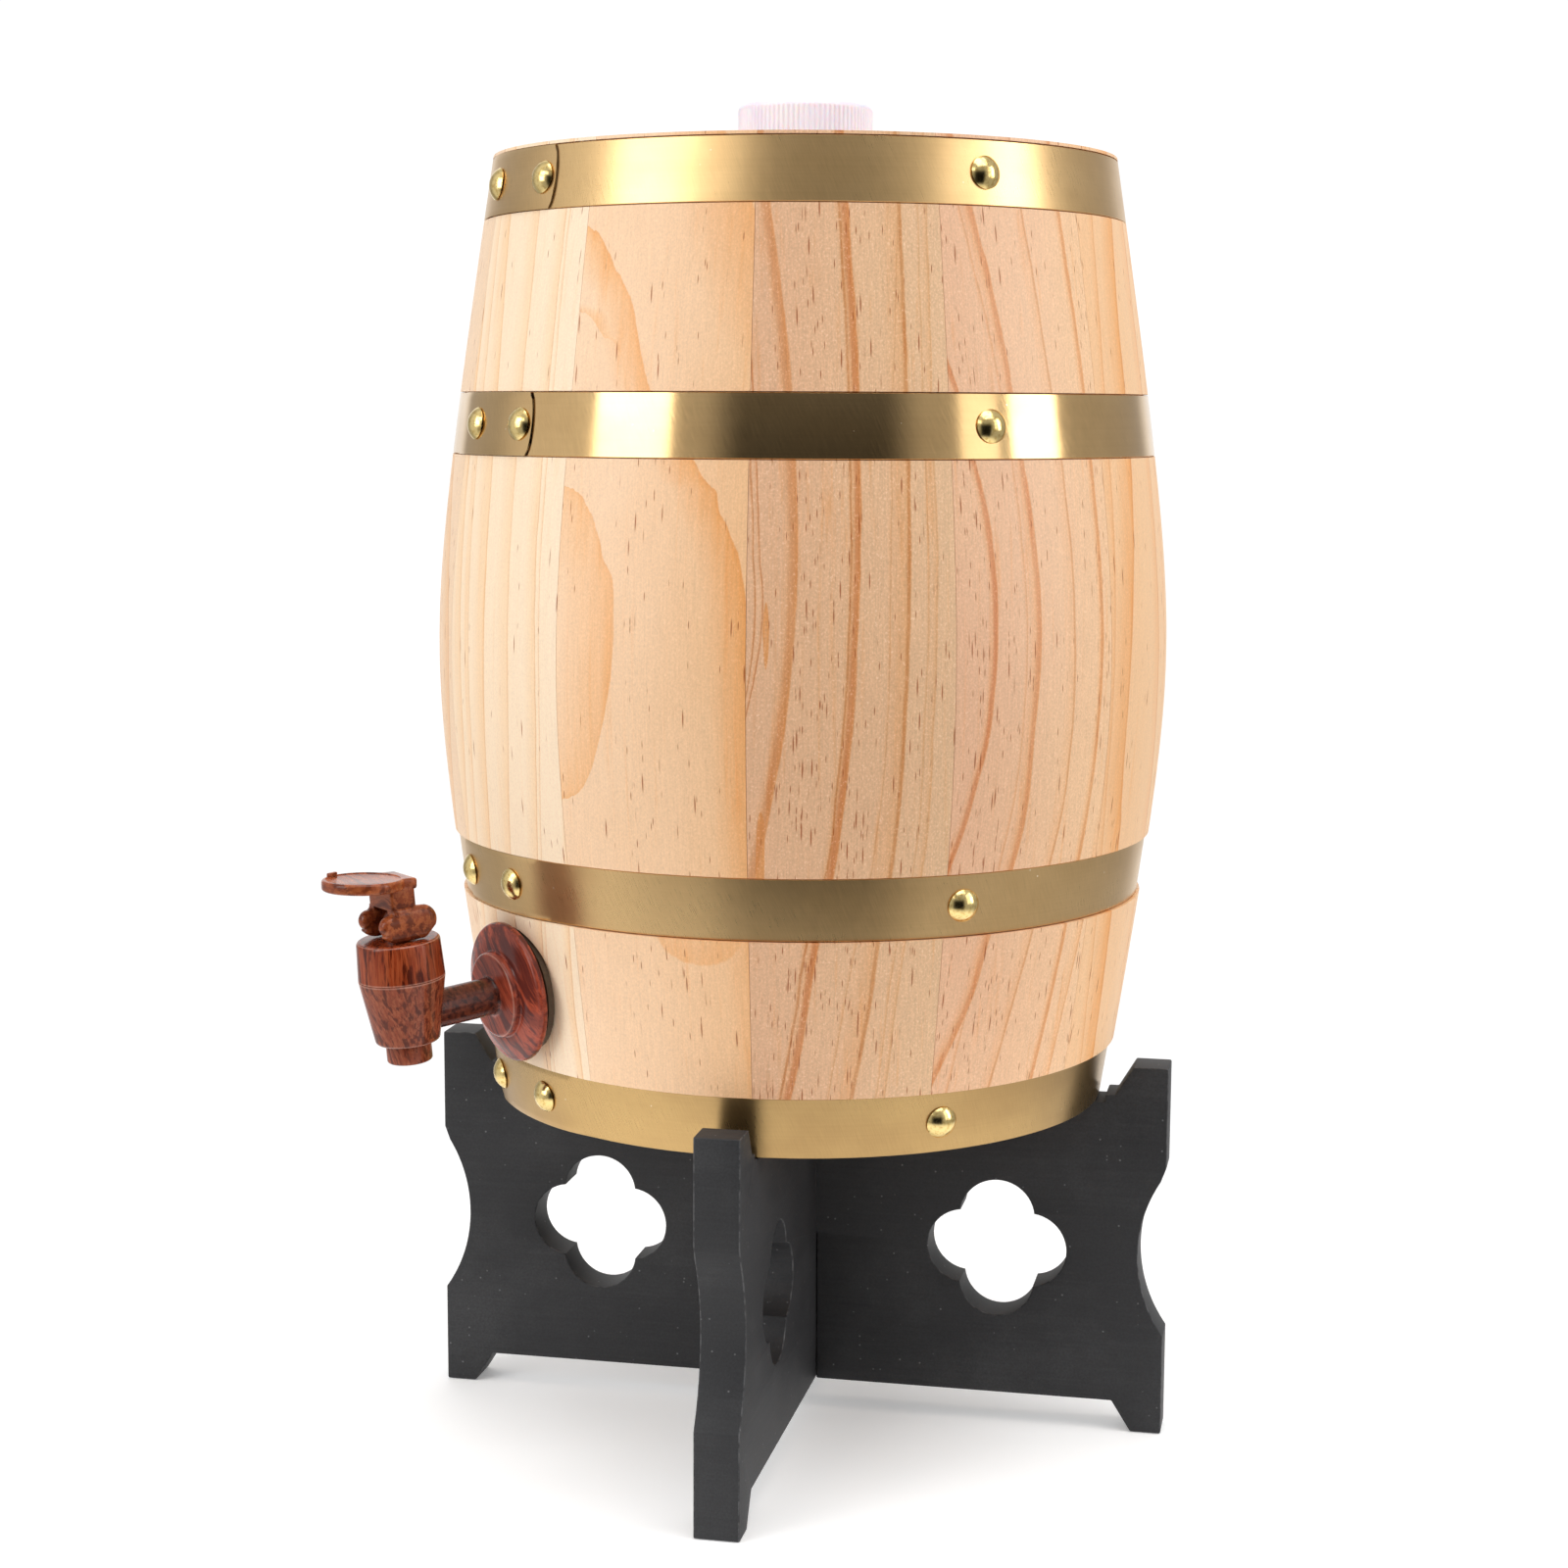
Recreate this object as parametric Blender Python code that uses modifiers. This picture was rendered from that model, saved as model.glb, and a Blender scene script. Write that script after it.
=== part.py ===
"""An upright wooden barrel with a lever tap and a screw cap, on a cross stand.

Lengths are in metres and +Z is up. The tap points along -Y and the stand's feet rest on z = 0.
Heights on the barrel are measured from its foot, and azimuths go from the tap towards +X.
"""

from dataclasses import dataclass
from math import atan, atan2, ceil, cos, degrees, hypot, pi, radians, sin, sqrt, tan

import bmesh
import bpy

PART_NAME = "barrel_on_stand"

# Clearances
GAP = 0.0003
RUNNING_GAP = 0.0004
LOOSE_GAP = 0.0008
CUT_MARGIN = 0.002

# Barrel wall
BARREL_HEIGHT = 0.3185
BILGE_RADIUS = 0.125
BILGE_HEIGHT = 0.1535
BILGE_BLEND = 0.052
WALL_TAPER = 0.165
STAVE_THICKNESS = 0.014
STAVE_COUNT = 12
STAVE_STEPS = 4
BARE_WALL_POINTS = (0, 3, 6, 3)
INNER_RINGS = 6
FIRST_JOINT_DEG = 16.5

# Barrel ends
HEAD_RECESS = 0.010
HEAD_THICKNESS = 0.010
HEAD_TONGUE = 0.004
CROZE_DEPTH = 0.004
CHIME_BEVEL = 0.003
CHIME_BEVEL_HEIGHT = 0.005
HEAD_MIDDLE_BOARD = 0.074

# Hoops
HOOP_WIDTH = 0.020
HOOP_THICKNESS = 0.0012
HOOP_STEPS = 60
HOOP_LAP_GAP = 0.00015
HOOP_END_MARGIN = 0.0065
HOOP_END_ROUND = 0.0022
HOOP_RAMP_DEG = 9.0
UPPER_HOOP_DROP = 0.0783
HOOP_SET_FLUSH = 0.0
HOOP_SET_LOWER = 0.0011
HOOP_SET_FOOT = 0.0015

# Rivets and nails of the hoops
RIVET_HEAD_RADIUS = 0.00525
RIVET_HEAD_HEIGHT = 0.003
RIVET_SHANK_RADIUS = 0.0015
RIVET_GRIP = 0.005
RIVET_STEPS = 10
RIVET_DOME_STEPS = 3
NAILS_PER_HOOP = 3
NAIL_PITCH_DEG = 90.0

# Liner tank, filler neck and screw cap
LINER_WALL = 0.0015
LINER_STEPS = 44
LINER_NECK_RADIUS = 0.0145
NECK_WALL = 0.0037
NECK_FLANGE_WIDTH = 0.0075
NECK_FLANGE_THICKNESS = 0.002
CAP_RADIUS = 0.02275
CAP_WALL = 0.00225
CAP_ROOF = 0.0022
CAP_RISE = 0.0187
CAP_GASKET_THICKNESS = 0.0015
CAP_EDGE_ROUND = 0.0028
THREAD_PITCH = 0.004
THREAD_DEPTH = 0.0015
THREAD_ROOT_WIDTH = 0.002
THREAD_CREST_WIDTH = 0.001
THREAD_TURNS = 2
THREAD_BURY = 0.0004
THREAD_TOP_DROP = 0.0029
NECK_STEPS = 30

# Tap, in a frame at the wall: out along the shank, up along the body
TAP_TILT_DEG = 5.35
FLANGE_RADIUS = 0.0232
FLANGE_BACK = 0.0011
FLANGE_RIM = 0.0055
FLANGE_ROUND = 0.0015
COLLAR_RADIUS = 0.0142
COLLAR_FOOT = 0.0068
COLLAR_RIM = 0.0098
COLLAR_ROUND = 0.0012
FLANGE_TO_HOOP = 0.002
FLANGE_SEAT_DEPTH = 0.0015
SHANK_RADIUS = 0.0062
SHANK_BORE_RADIUS = 0.0035
TAIL_RADIUS = 0.008
TAIL_OVERHANG = 0.002
OUTER_GASKET_RADIUS = 0.0205
INNER_GASKET_RADIUS = 0.012
INNER_GASKET_THICKNESS = 0.002
BACK_NUT_THICKNESS = 0.006
BACK_NUT_RADIUS = 0.013
NUT_SIDES = 6
BODY_REACH = 0.0418
BODY_TOP = 0.013
BODY_TOP_RADIUS = 0.0139
BODY_BOTTOM = -0.0082
BODY_BOTTOM_RADIUS = 0.0105
BODY_BOTTOM_ROUND = 0.0015
NOZZLE_RADIUS = 0.0073
NOZZLE_END = -0.0146
OUTLET_RADIUS = 0.0045
CHAMBER_RADIUS = 0.008
CHAMBER_FLOOR = -0.004
BONNET_BORE_FLOOR = 0.004
BONNET_RISE = 0.0128
BONNET_TOP_RADIUS = 0.0134
BONNET_ROUND = 0.0012
BONNET_ROOF = 0.0033
BONNET_SKIRT_RADIUS = 0.010
BONNET_SKIRT_WALL = 0.0022
TAP_STEPS = 28

# Valve inside the tap
STEM_RADIUS = 0.0042
STEM_COLLAR_RADIUS = 0.007
STEM_COLLAR_TOP = 0.0042
STEM_COLLAR_THICKNESS = 0.0015
SEAL_RADIUS = 0.0065
SEAL_THICKNESS = 0.0035
SEAL_SOCKET_RADIUS = 0.0026
SEAL_SOCKET_DEPTH = 0.002
SPRING_WIRE_RADIUS = 0.0006
SPRING_RADIUS = 0.006
SPRING_TURNS = 5
SPRING_STEPS_PER_TURN = 10

# Lever of the tap
CAM_BASE = 0.0054
CAM_LIFT_PER_RAD = 0.00358
CAM_TRAVEL_DEG = 40.0
CAM_SPARE_DEG = 8.0
CAM_HEEL = 0.006
CAM_STEPS = 8
CHEEK_HALF_WIDTH = 0.0095
SLOT_HALF_WIDTH = 0.0048
LOBE_RADIUS = 0.0050
LOBE_SETBACK = 0.0054
LOBE_START_DEG = 108.0
LOBE_END_DEG = 207.0
LOBE_STEPS = 6
BLOCK_FRONT = 0.005
BLOCK_BACK = 0.0038
BLOCK_HALF_WIDTH = 0.008
BLOCK_FOOT = 0.0035
BLOCK_RISE = 0.0105
EYE_RADIUS = 0.0042
PAD_RADIUS = 0.013
PAD_CENTRE = 0.0102
PAD_THICKNESS = 0.0035
PAD_TAIL = 0.005
PAD_STEPS = 16
PIN_RADIUS = 0.0015
PIN_HALF_LENGTH = 0.008

# Stand
BOARD_THICKNESS = 0.015
STAND_HEIGHT = 0.130
STAND_TURN_DEG = 43.0
HORN_RISE = 0.010
HORN_WIDTH = 0.012
HORN_SLANT = 0.006
LEDGE_WIDTH = 0.0035
REST_SINK = 0.0026
REST_MARGIN = 0.0016
FOOT_HEIGHT = 0.0107
FOOT_WIDTH = 0.0106
FOOT_SLANT = 0.0067
WAIST_LOW = 0.035
WAIST_HIGH = 0.090
WAIST_DEPTH = 0.0083
WAIST_CHAMFER = 0.0018
WAIST_CHAMFER_RISE = 0.005
WAIST_STEPS = 10
CUTOUT_SETBACK = 0.0582
CUTOUT_HEIGHT = 0.063
CUTOUT_LOBE_RADIUS = 0.013
CUTOUT_LOBE_OFFSET = 0.0113
CUTOUT_LOBE_STEPS = 8

# Values that follow from the ones above
STAVE_SWEEP = 2 * pi / STAVE_COUNT
STAVE_STEP = STAVE_SWEEP / STAVE_STEPS
REST_HEIGHT = STAND_HEIGHT - HORN_RISE - REST_SINK
BARREL_FOOT = REST_HEIGHT + GAP
LOWER_HOOP_RISE = HOOP_WIDTH + 2 * (FLANGE_RADIUS + LOOSE_GAP + FLANGE_TO_HOOP)
TAP_HEIGHT = (HOOP_WIDTH + LOWER_HOOP_RISE) / 2
TAP_TILT = radians(TAP_TILT_DEG)
HEAD_TOP_FACE = BARREL_HEIGHT - HEAD_RECESS
BONNET_TOP = BODY_TOP + BONNET_RISE
PIVOT_HEIGHT = BONNET_TOP + GAP + CAM_BASE
PAD_FOOT = BLOCK_RISE
NECK_RADIUS = LINER_NECK_RADIUS + GAP + NECK_WALL
CAP_BORE_RADIUS = CAP_RADIUS - CAP_WALL
CAP_TOP = BARREL_HEIGHT + CAP_RISE
CAP_GASKET_TOP = CAP_TOP - CAP_ROOF - GAP
NECK_TOP = CAP_GASKET_TOP - CAP_GASKET_THICKNESS - GAP
NECK_FLANGE_TOP = HEAD_TOP_FACE + GAP + NECK_FLANGE_THICKNESS


def wall_radius(height: float) -> float:
    """Outer radius of the wood at a height: a round bilge that runs out into a plain taper."""
    spread = hypot(BILGE_BLEND, height - BILGE_HEIGHT) - BILGE_BLEND
    return BILGE_RADIUS - WALL_TAPER * spread


def wall_slope(height: float) -> float:
    """Angle by which the wall's outward normal leans down at a height."""
    rise = BILGE_HEIGHT - height
    return atan(WALL_TAPER * rise / hypot(BILGE_BLEND, rise))


def inner_radius(height: float) -> float:
    """Inner radius of the staves at a height."""
    return wall_radius(height) - STAVE_THICKNESS


def spaced(start: float, end: float, count: int):
    """Evenly spaced values, ends included."""
    return [start + (end - start) * i / (count - 1) for i in range(count)]


def croze_edges(tongue_middle: float):
    """Lower and upper edge of the groove that holds a head."""
    half = HEAD_TONGUE / 2 + GAP
    return tongue_middle - half, tongue_middle + half


TOP_TONGUE = HEAD_TOP_FACE - HEAD_THICKNESS / 2
BOTTOM_TONGUE = HEAD_RECESS + HEAD_THICKNESS / 2
INNER_HEIGHTS = spaced(croze_edges(BOTTOM_TONGUE)[1], croze_edges(TOP_TONGUE)[0], INNER_RINGS)


def clear_inner_radius(height: float) -> float:
    """Radius that stays inside the flat facets of the staves' inner faces."""
    low = max((h for h in INNER_HEIGHTS[:-1] if h <= height), default=INNER_HEIGHTS[0])
    high = INNER_HEIGHTS[INNER_HEIGHTS.index(low) + 1]
    share = (height - low) / (high - low)
    faceted = inner_radius(low) + (inner_radius(high) - inner_radius(low)) * share
    return faceted * cos(STAVE_STEP / 2)


@dataclass(frozen=True)
class Hoop:
    """One hoop: a strap bent round the barrel, lapped and riveted.

    low is its lower edge, set_in how far its face lies behind the wood's, and wind is +1 where the
    strap's outer end points away from the tap towards +X, -1 where it points the other way.
    """

    name: str
    low: float
    set_in: float
    wind: int
    lap_degs: tuple[float, float]
    first_nail_deg: float

    @property
    def high(self) -> float:
        """Upper edge."""
        return self.low + HOOP_WIDTH

    @property
    def middle(self) -> float:
        """Height of the row of rivets."""
        return self.low + HOOP_WIDTH / 2

    @property
    def groove(self) -> float:
        """Depth of the turned groove that the hoop lies in."""
        return self.set_in + HOOP_THICKNESS + GAP

    def bed_radius(self, height: float) -> float:
        """Radius of the hoop's inner face."""
        return wall_radius(height) - self.set_in - HOOP_THICKNESS


HOOPS = (
    Hoop("hoop_1", BARREL_HEIGHT - HOOP_WIDTH, HOOP_SET_FLUSH, 1, (-13.4, 4.3), 85.5),
    Hoop("hoop_2", BARREL_HEIGHT - UPPER_HOOP_DROP - HOOP_WIDTH, HOOP_SET_FLUSH, 1, (-8.3, 5.4), 83.4),
    Hoop("hoop_3", LOWER_HOOP_RISE, HOOP_SET_LOWER, -1, (-14.0, 1.9), 79.8),
    Hoop("hoop_4", 0.0, HOOP_SET_FOOT, -1, (-16.6, 2.8), 79.3),
)
FOOT_RADIUS = HOOPS[3].bed_radius(0.0) + HOOP_THICKNESS
REST_RADIUS = FOOT_RADIUS + HOOP_SET_FOOT + REST_MARGIN
ARM_LENGTH = REST_RADIUS + LEDGE_WIDTH + HORN_SLANT + HORN_WIDTH
TAP_WALL_RADIUS = wall_radius(TAP_HEIGHT)
PAD_TIP_OUT = BODY_REACH + PAD_CENTRE + PAD_RADIUS
PAD_TIP_UP = PIVOT_HEIGHT + PAD_FOOT + PAD_THICKNESS
TAP_REACH = TAP_WALL_RADIUS + PAD_TIP_OUT * cos(TAP_TILT) + PAD_TIP_UP * sin(TAP_TILT)
AXIS_Y = (TAP_REACH - BILGE_RADIUS) / 2


# Scene set-up
ORIGIN = (0.0, 0.0, 0.0)
UNTURNED = (0.0, 0.0, 0.0)
SHARP_ANGLE = radians(30)
for old in list(bpy.data.objects):
    bpy.data.objects.remove(old, do_unlink=True)
PARTS = bpy.data.collections.new(PART_NAME)
CUTTERS = bpy.data.collections.new("cutters")
bpy.context.scene.collection.children.link(PARTS)
bpy.context.scene.collection.children.link(CUTTERS)


def material(name: str, colour: tuple[float, float, float], roughness: float, metallic: float = 0.0):
    """A Principled BSDF material."""
    made = bpy.data.materials.new(name)
    made.use_nodes = True
    shader = made.node_tree.nodes["Principled BSDF"]
    shader.inputs["Base Color"].default_value = (*colour, 1.0)
    shader.inputs["Roughness"].default_value = roughness
    shader.inputs["Metallic"].default_value = metallic
    return made


PINE = material("pine", (0.79, 0.56, 0.33), 0.5)
BRASS = material("brushed_brass", (0.64, 0.48, 0.22), 0.3, 1.0)
POLISHED_BRASS = material("polished_brass", (0.74, 0.58, 0.27), 0.16, 1.0)
BLACK_PAINT = material("black_paint", (0.022, 0.023, 0.025), 0.62)
ROSEWOOD_PLASTIC = material("rosewood_plastic", (0.20, 0.045, 0.018), 0.22)
LEVER_PLASTIC = material("lever_plastic", (0.26, 0.075, 0.025), 0.26)
WHITE_PLASTIC = material("white_plastic", (0.86, 0.85, 0.83), 0.4)
TANK_PLASTIC = material("tank_plastic", (0.83, 0.84, 0.84), 0.45)
RUBBER = material("rubber", (0.03, 0.03, 0.03), 0.7)
SILICONE = material("silicone", (0.72, 0.72, 0.70), 0.5)
STEEL = material("steel", (0.62, 0.62, 0.63), 0.25, 1.0)


def empty(name: str, location, parent=None, tilt: float = 0.0):
    """A plain axis that pieces hang on."""
    made = bpy.data.objects.new(name, None)
    made.location = location
    made.rotation_euler = (tilt, 0.0, 0.0)
    made.parent = parent
    PARTS.objects.link(made)
    return made


def add(name: str, data, parent, surface=None, rotation=UNTURNED, location=ORIGIN):
    """Puts a mesh or curve among the parts, or among the cutters if it has no material."""
    made = bpy.data.objects.new(name, data)
    made.location = location
    made.rotation_euler = rotation
    made.parent = parent
    if surface is None:
        CUTTERS.objects.link(made)
        made.hide_render = True
        made.display_type = "WIRE"
    else:
        PARTS.objects.link(made)
        data.materials.append(surface)
    return made


def modify(target, tool, operation: str = "DIFFERENCE") -> None:
    """Cuts a piece with another, or joins or trims it."""
    boolean = target.modifiers.new(tool.name, "BOOLEAN")
    boolean.object = tool
    boolean.operation = operation
    boolean.solver = "EXACT"


def turned(name: str, profile, steps: int, parent, surface=None, rotation=UNTURNED, location=ORIGIN):
    """A turned piece from (radius, height) points that run down its outer side."""
    mesh = bpy.data.meshes.new(name)
    count = len(profile)
    edges = [(i, i + 1) for i in range(count - 1)]
    if profile[0][0] > 0.0 or profile[-1][0] > 0.0:
        edges.append((count - 1, 0))
    mesh.from_pydata([(radius, 0.0, height) for radius, height in profile], edges, [])
    made = add(name, mesh, parent, surface, rotation, location)
    screw = made.modifiers.new("turn", "SCREW")
    screw.axis = "Z"
    screw.angle = 2 * pi
    screw.steps = steps
    screw.render_steps = steps
    screw.use_merge_vertices = True
    screw.merge_threshold = 0.00001
    screw.use_smooth_shade = True
    return made


def tube_profile(outer: float, inner: float, low: float, high: float):
    """A plain ring's section."""
    return [(outer, high), (outer, low), (inner, low), (inner, high)]


def rod_profile(radius: float, low: float, high: float):
    """A plain rod's section."""
    return [(0.0, high), (radius, high), (radius, low), (0.0, low)]


def swept_mesh(name: str, outline, start: float, sweep: float, steps: int, rise: float = 0.0):
    """A closed (radius, height) outline swept about Z through an angle, with both ends closed."""
    shape = bmesh.new()
    corners = [shape.verts.new((r * cos(start), r * sin(start), z)) for r, z in outline]
    face = shape.faces.new(corners)
    bmesh.ops.spin(
        shape,
        geom=[face],
        cent=(0.0, 0.0, 0.0),
        axis=(0.0, 0.0, 1.0),
        dvec=(0.0, 0.0, rise / steps),
        angle=sweep,
        steps=steps,
    )
    bmesh.ops.recalc_face_normals(shape, faces=shape.faces)
    mesh = bpy.data.meshes.new(name)
    shape.to_mesh(mesh)
    shape.free()
    mesh.shade_smooth()
    mesh.set_sharp_from_angle(angle=SHARP_ANGLE)
    return mesh


def flat_curve(name: str, outlines, thickness: float):
    """A 2D curve filled between its outlines and extruded to a thickness about its plane."""
    curve = bpy.data.curves.new(name, "CURVE")
    curve.dimensions = "2D"
    curve.fill_mode = "BOTH"
    curve.extrude = thickness / 2
    for outline in outlines:
        spline = curve.splines.new("POLY")
        spline.points.add(len(outline) - 1)
        for point, (across, along) in zip(spline.points, outline):
            point.co = (across, along, 0.0, 1.0)
        spline.use_cyclic_u = True
    return curve


def plate(name: str, outlines, thickness: float, parent, surface, rotation, location=ORIGIN):
    """A flat plate as a mesh, with its caps welded on."""
    curve = add(name + "_outline", flat_curve(name, outlines, thickness), parent, None, rotation, location)
    bpy.context.view_layer.update()
    evaluated = curve.evaluated_get(bpy.context.evaluated_depsgraph_get())
    mesh = bpy.data.meshes.new_from_object(evaluated)
    bpy.data.objects.remove(curve, do_unlink=True)
    shape = bmesh.new()
    shape.from_mesh(mesh)
    bmesh.ops.remove_doubles(shape, verts=shape.verts, dist=0.00001)
    bmesh.ops.recalc_face_normals(shape, faces=shape.faces)
    shape.to_mesh(mesh)
    shape.free()
    mesh.shade_smooth()
    mesh.set_sharp_from_angle(angle=SHARP_ANGLE)
    return add(name, mesh, parent, surface, rotation, location)


def arc(centre, radius: float, start: float, end: float, steps: int):
    """Points of an arc, ends included."""
    angles = [start + (end - start) * i / steps for i in range(steps + 1)]
    return [(centre[0] + radius * cos(a), centre[1] + radius * sin(a)) for a in angles]


def sagged_arc(first, last, sag: float, steps: int):
    """Points of an arc between two points that bows to the left of the way from first to last."""
    across = last[0] - first[0]
    along = last[1] - first[1]
    chord = hypot(across, along)
    radius = (chord * chord / 4 + sag * sag) / (2 * sag)
    middle = ((first[0] + last[0]) / 2, (first[1] + last[1]) / 2)
    left = (-along / chord, across / chord)
    centre = (middle[0] - left[0] * (radius - sag), middle[1] - left[1] * (radius - sag))
    start = atan2(first[1] - centre[1], first[0] - centre[0])
    end = atan2(last[1] - centre[1], last[0] - centre[0])
    while end > start:
        end -= 2 * pi
    return arc(centre, radius, start, end, steps)


def box(name: str, low, high, parent):
    """A rectangular cutter between two corners."""
    shape = bmesh.new()
    bmesh.ops.create_cube(shape, size=1.0)
    size = [b - a for a, b in zip(low, high)]
    centre = [(a + b) / 2 for a, b in zip(low, high)]
    bmesh.ops.scale(shape, vec=size, verts=shape.verts)
    bmesh.ops.translate(shape, vec=centre, verts=shape.verts)
    mesh = bpy.data.meshes.new(name)
    shape.to_mesh(mesh)
    shape.free()
    return add(name, mesh, parent)


def angle_of(azimuth_deg: float) -> float:
    """Angle about Z, from +X, of an azimuth that is measured from the tap."""
    return radians(azimuth_deg) - pi / 2


STAND_AXIS = empty("stand_axis", (0.0, AXIS_Y, 0.0))
BARREL_AXIS = empty("barrel_axis", (0.0, AXIS_Y, BARREL_FOOT))
TAP_AXIS = empty("tap_axis", (0.0, -TAP_WALL_RADIUS, TAP_HEIGHT), BARREL_AXIS, TAP_TILT)
BODY_AXIS = empty("tap_body_axis", (0.0, -BODY_REACH, 0.0), TAP_AXIS)
LEVER_PIVOT = empty("lever_pivot", (0.0, 0.0, PIVOT_HEIGHT), BODY_AXIS)

# Turning a piece by this lays its own Z along the shank, out of the barrel
ALONG_SHANK = (pi / 2, 0.0, 0.0)
# Turning a piece by this stands its own XY plane up, with X out of the barrel
SIDE_PLANE = (pi / 2, 0.0, -pi / 2)
# Turning a piece by this points its own X out of the barrel
LEVEL_PLANE = (0.0, 0.0, -pi / 2)
# Turning a piece by this lays its own Z along X
ACROSS = (0.0, pi / 2, 0.0)


# Staves and heads
def stave_outline():
    """A stave's section: grooves for the hoops outside, grooves for the heads inside."""
    points = []
    bare_top = BARREL_HEIGHT
    for hoop, bare_points in zip(HOOPS, BARE_WALL_POINTS):
        high = min(hoop.high + GAP, BARREL_HEIGHT)
        low = max(hoop.low - GAP, 0.0)
        if bare_points:
            points += [(wall_radius(h), h) for h in spaced(bare_top, high, bare_points)]
        points += [(wall_radius(h) - hoop.groove, h) for h in (high, low)]
        bare_top = low
    bottom_low, bottom_high = croze_edges(BOTTOM_TONGUE)
    top_low, top_high = croze_edges(TOP_TONGUE)
    points.append((inner_radius(0.0) + CHIME_BEVEL, 0.0))
    points.append((inner_radius(CHIME_BEVEL_HEIGHT), CHIME_BEVEL_HEIGHT))
    points.append((inner_radius(bottom_low), bottom_low))
    points.append((inner_radius(bottom_low) + CROZE_DEPTH, bottom_low))
    points.append((inner_radius(bottom_high) + CROZE_DEPTH, bottom_high))
    points += [(inner_radius(h), h) for h in INNER_HEIGHTS]
    points.append((inner_radius(top_low) + CROZE_DEPTH, top_low))
    points.append((inner_radius(top_high) + CROZE_DEPTH, top_high))
    points.append((inner_radius(top_high), top_high))
    bevel_foot = BARREL_HEIGHT - CHIME_BEVEL_HEIGHT
    points.append((inner_radius(bevel_foot), bevel_foot))
    points.append((inner_radius(BARREL_HEIGHT) + CHIME_BEVEL, BARREL_HEIGHT))
    return points


def build_staves():
    """The staves, numbered from the one that carries the tap."""
    outline = stave_outline()
    joint_angle = GAP / min(radius for radius, _ in outline)
    staves = []
    for number in range(STAVE_COUNT):
        start = angle_of(FIRST_JOINT_DEG) + (number - 1) * STAVE_SWEEP + joint_angle / 2
        name = f"stave_{number + 1:02d}"
        mesh = swept_mesh(name, outline, start, STAVE_SWEEP - joint_angle, STAVE_STEPS)
        staves.append(add(name, mesh, BARREL_AXIS, PINE))
    return staves


def staves_under(staves, azimuth_deg: float, radius: float, half_width: float):
    """The staves that a hole at an azimuth reaches."""
    reach = degrees(half_width / radius)
    span = 360.0 / STAVE_COUNT
    first = int((azimuth_deg - reach - FIRST_JOINT_DEG) // span) + 1
    last = int((azimuth_deg + reach - FIRST_JOINT_DEG) // span) + 1
    return [staves[number % STAVE_COUNT] for number in range(first, last + 1)]


def head_profile(tongue_middle: float):
    """A head's section: a disc whose edge is bevelled to a tongue."""
    half = HEAD_THICKNESS / 2
    top = tongue_middle + half
    bottom = tongue_middle - half
    tongue_top = tongue_middle + HEAD_TONGUE / 2
    tongue_bottom = tongue_middle - HEAD_TONGUE / 2
    throat = min(clear_inner_radius(bottom), clear_inner_radius(top)) - GAP
    edge = throat + CROZE_DEPTH - GAP
    return [(0.0, top), (throat, top), (throat, tongue_top), (edge, tongue_top),
            (edge, tongue_bottom), (throat, tongue_bottom), (throat, bottom), (0.0, bottom)]


def build_head(name: str, tongue_middle: float):
    """A head of three boards laid edge to edge; returns the middle one."""
    half = HEAD_MIDDLE_BOARD / 2
    reach = BILGE_RADIUS + CUT_MARGIN
    low = tongue_middle - HEAD_THICKNESS
    high = tongue_middle + HEAD_THICKNESS
    spans = ((-reach, -half - GAP / 2), (-half + GAP / 2, half - GAP / 2), (half + GAP / 2, reach))
    boards = []
    for number, (left, right) in enumerate(spans, 1):
        board_name = f"{name}_board_{number}"
        board = turned(board_name, head_profile(tongue_middle), LINER_STEPS, BARREL_AXIS, PINE)
        blank = box(board_name + "_blank", (left, -reach, low), (right, reach, high), BARREL_AXIS)
        modify(board, blank, "INTERSECT")
        boards.append(board)
    return boards[1]


# Hoops, rivets and nails
def strap_mesh(hoop: Hoop):
    """The strap: a flat blank bent round the groove, its outer end lapped over its inner end."""
    first, last = hoop.lap_degs
    radius = wall_radius(hoop.middle)
    margin = degrees(HOOP_END_MARGIN / radius)
    lap = radians(last - first + 2 * margin)
    inner_end = angle_of(first - margin) if hoop.wind > 0 else angle_of(last + margin)
    ramp = radians(HOOP_RAMP_DEG)
    whole = 2 * pi + lap
    step = 2 * pi / HOOP_STEPS
    segments = ceil(whole / step)
    shape = bmesh.new()
    bmesh.ops.create_grid(shape, x_segments=segments, y_segments=2, size=1.0)
    for vert in shape.verts:
        along = (vert.co.x + 1) / 2 * segments * step
        height = hoop.middle + vert.co.y * HOOP_WIDTH / 2
        edge_cut = abs(vert.co.y) * HOOP_END_ROUND / radius
        along = min(max(along, edge_cut), whole - edge_cut)
        climb = min(max((along - (2 * pi - ramp)) / ramp, 0.0), 1.0)
        smooth = climb * climb * (3 - 2 * climb)
        distance = hoop.bed_radius(height) + smooth * (HOOP_THICKNESS + HOOP_LAP_GAP)
        angle = inner_end + hoop.wind * along
        vert.co = (distance * cos(angle), distance * sin(angle), height)
    if hoop.wind < 0:
        bmesh.ops.reverse_faces(shape, faces=shape.faces)
    mesh = bpy.data.meshes.new(hoop.name)
    shape.to_mesh(mesh)
    shape.free()
    mesh.shade_smooth()
    return mesh


def build_hoop(hoop: Hoop):
    """A hoop, as a bent strap with its thickness."""
    made = add(hoop.name, strap_mesh(hoop), BARREL_AXIS, BRASS)
    thicken = made.modifiers.new("thickness", "SOLIDIFY")
    thicken.thickness = HOOP_THICKNESS
    thicken.offset = 1.0
    thicken.use_even_offset = True
    return made


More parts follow.
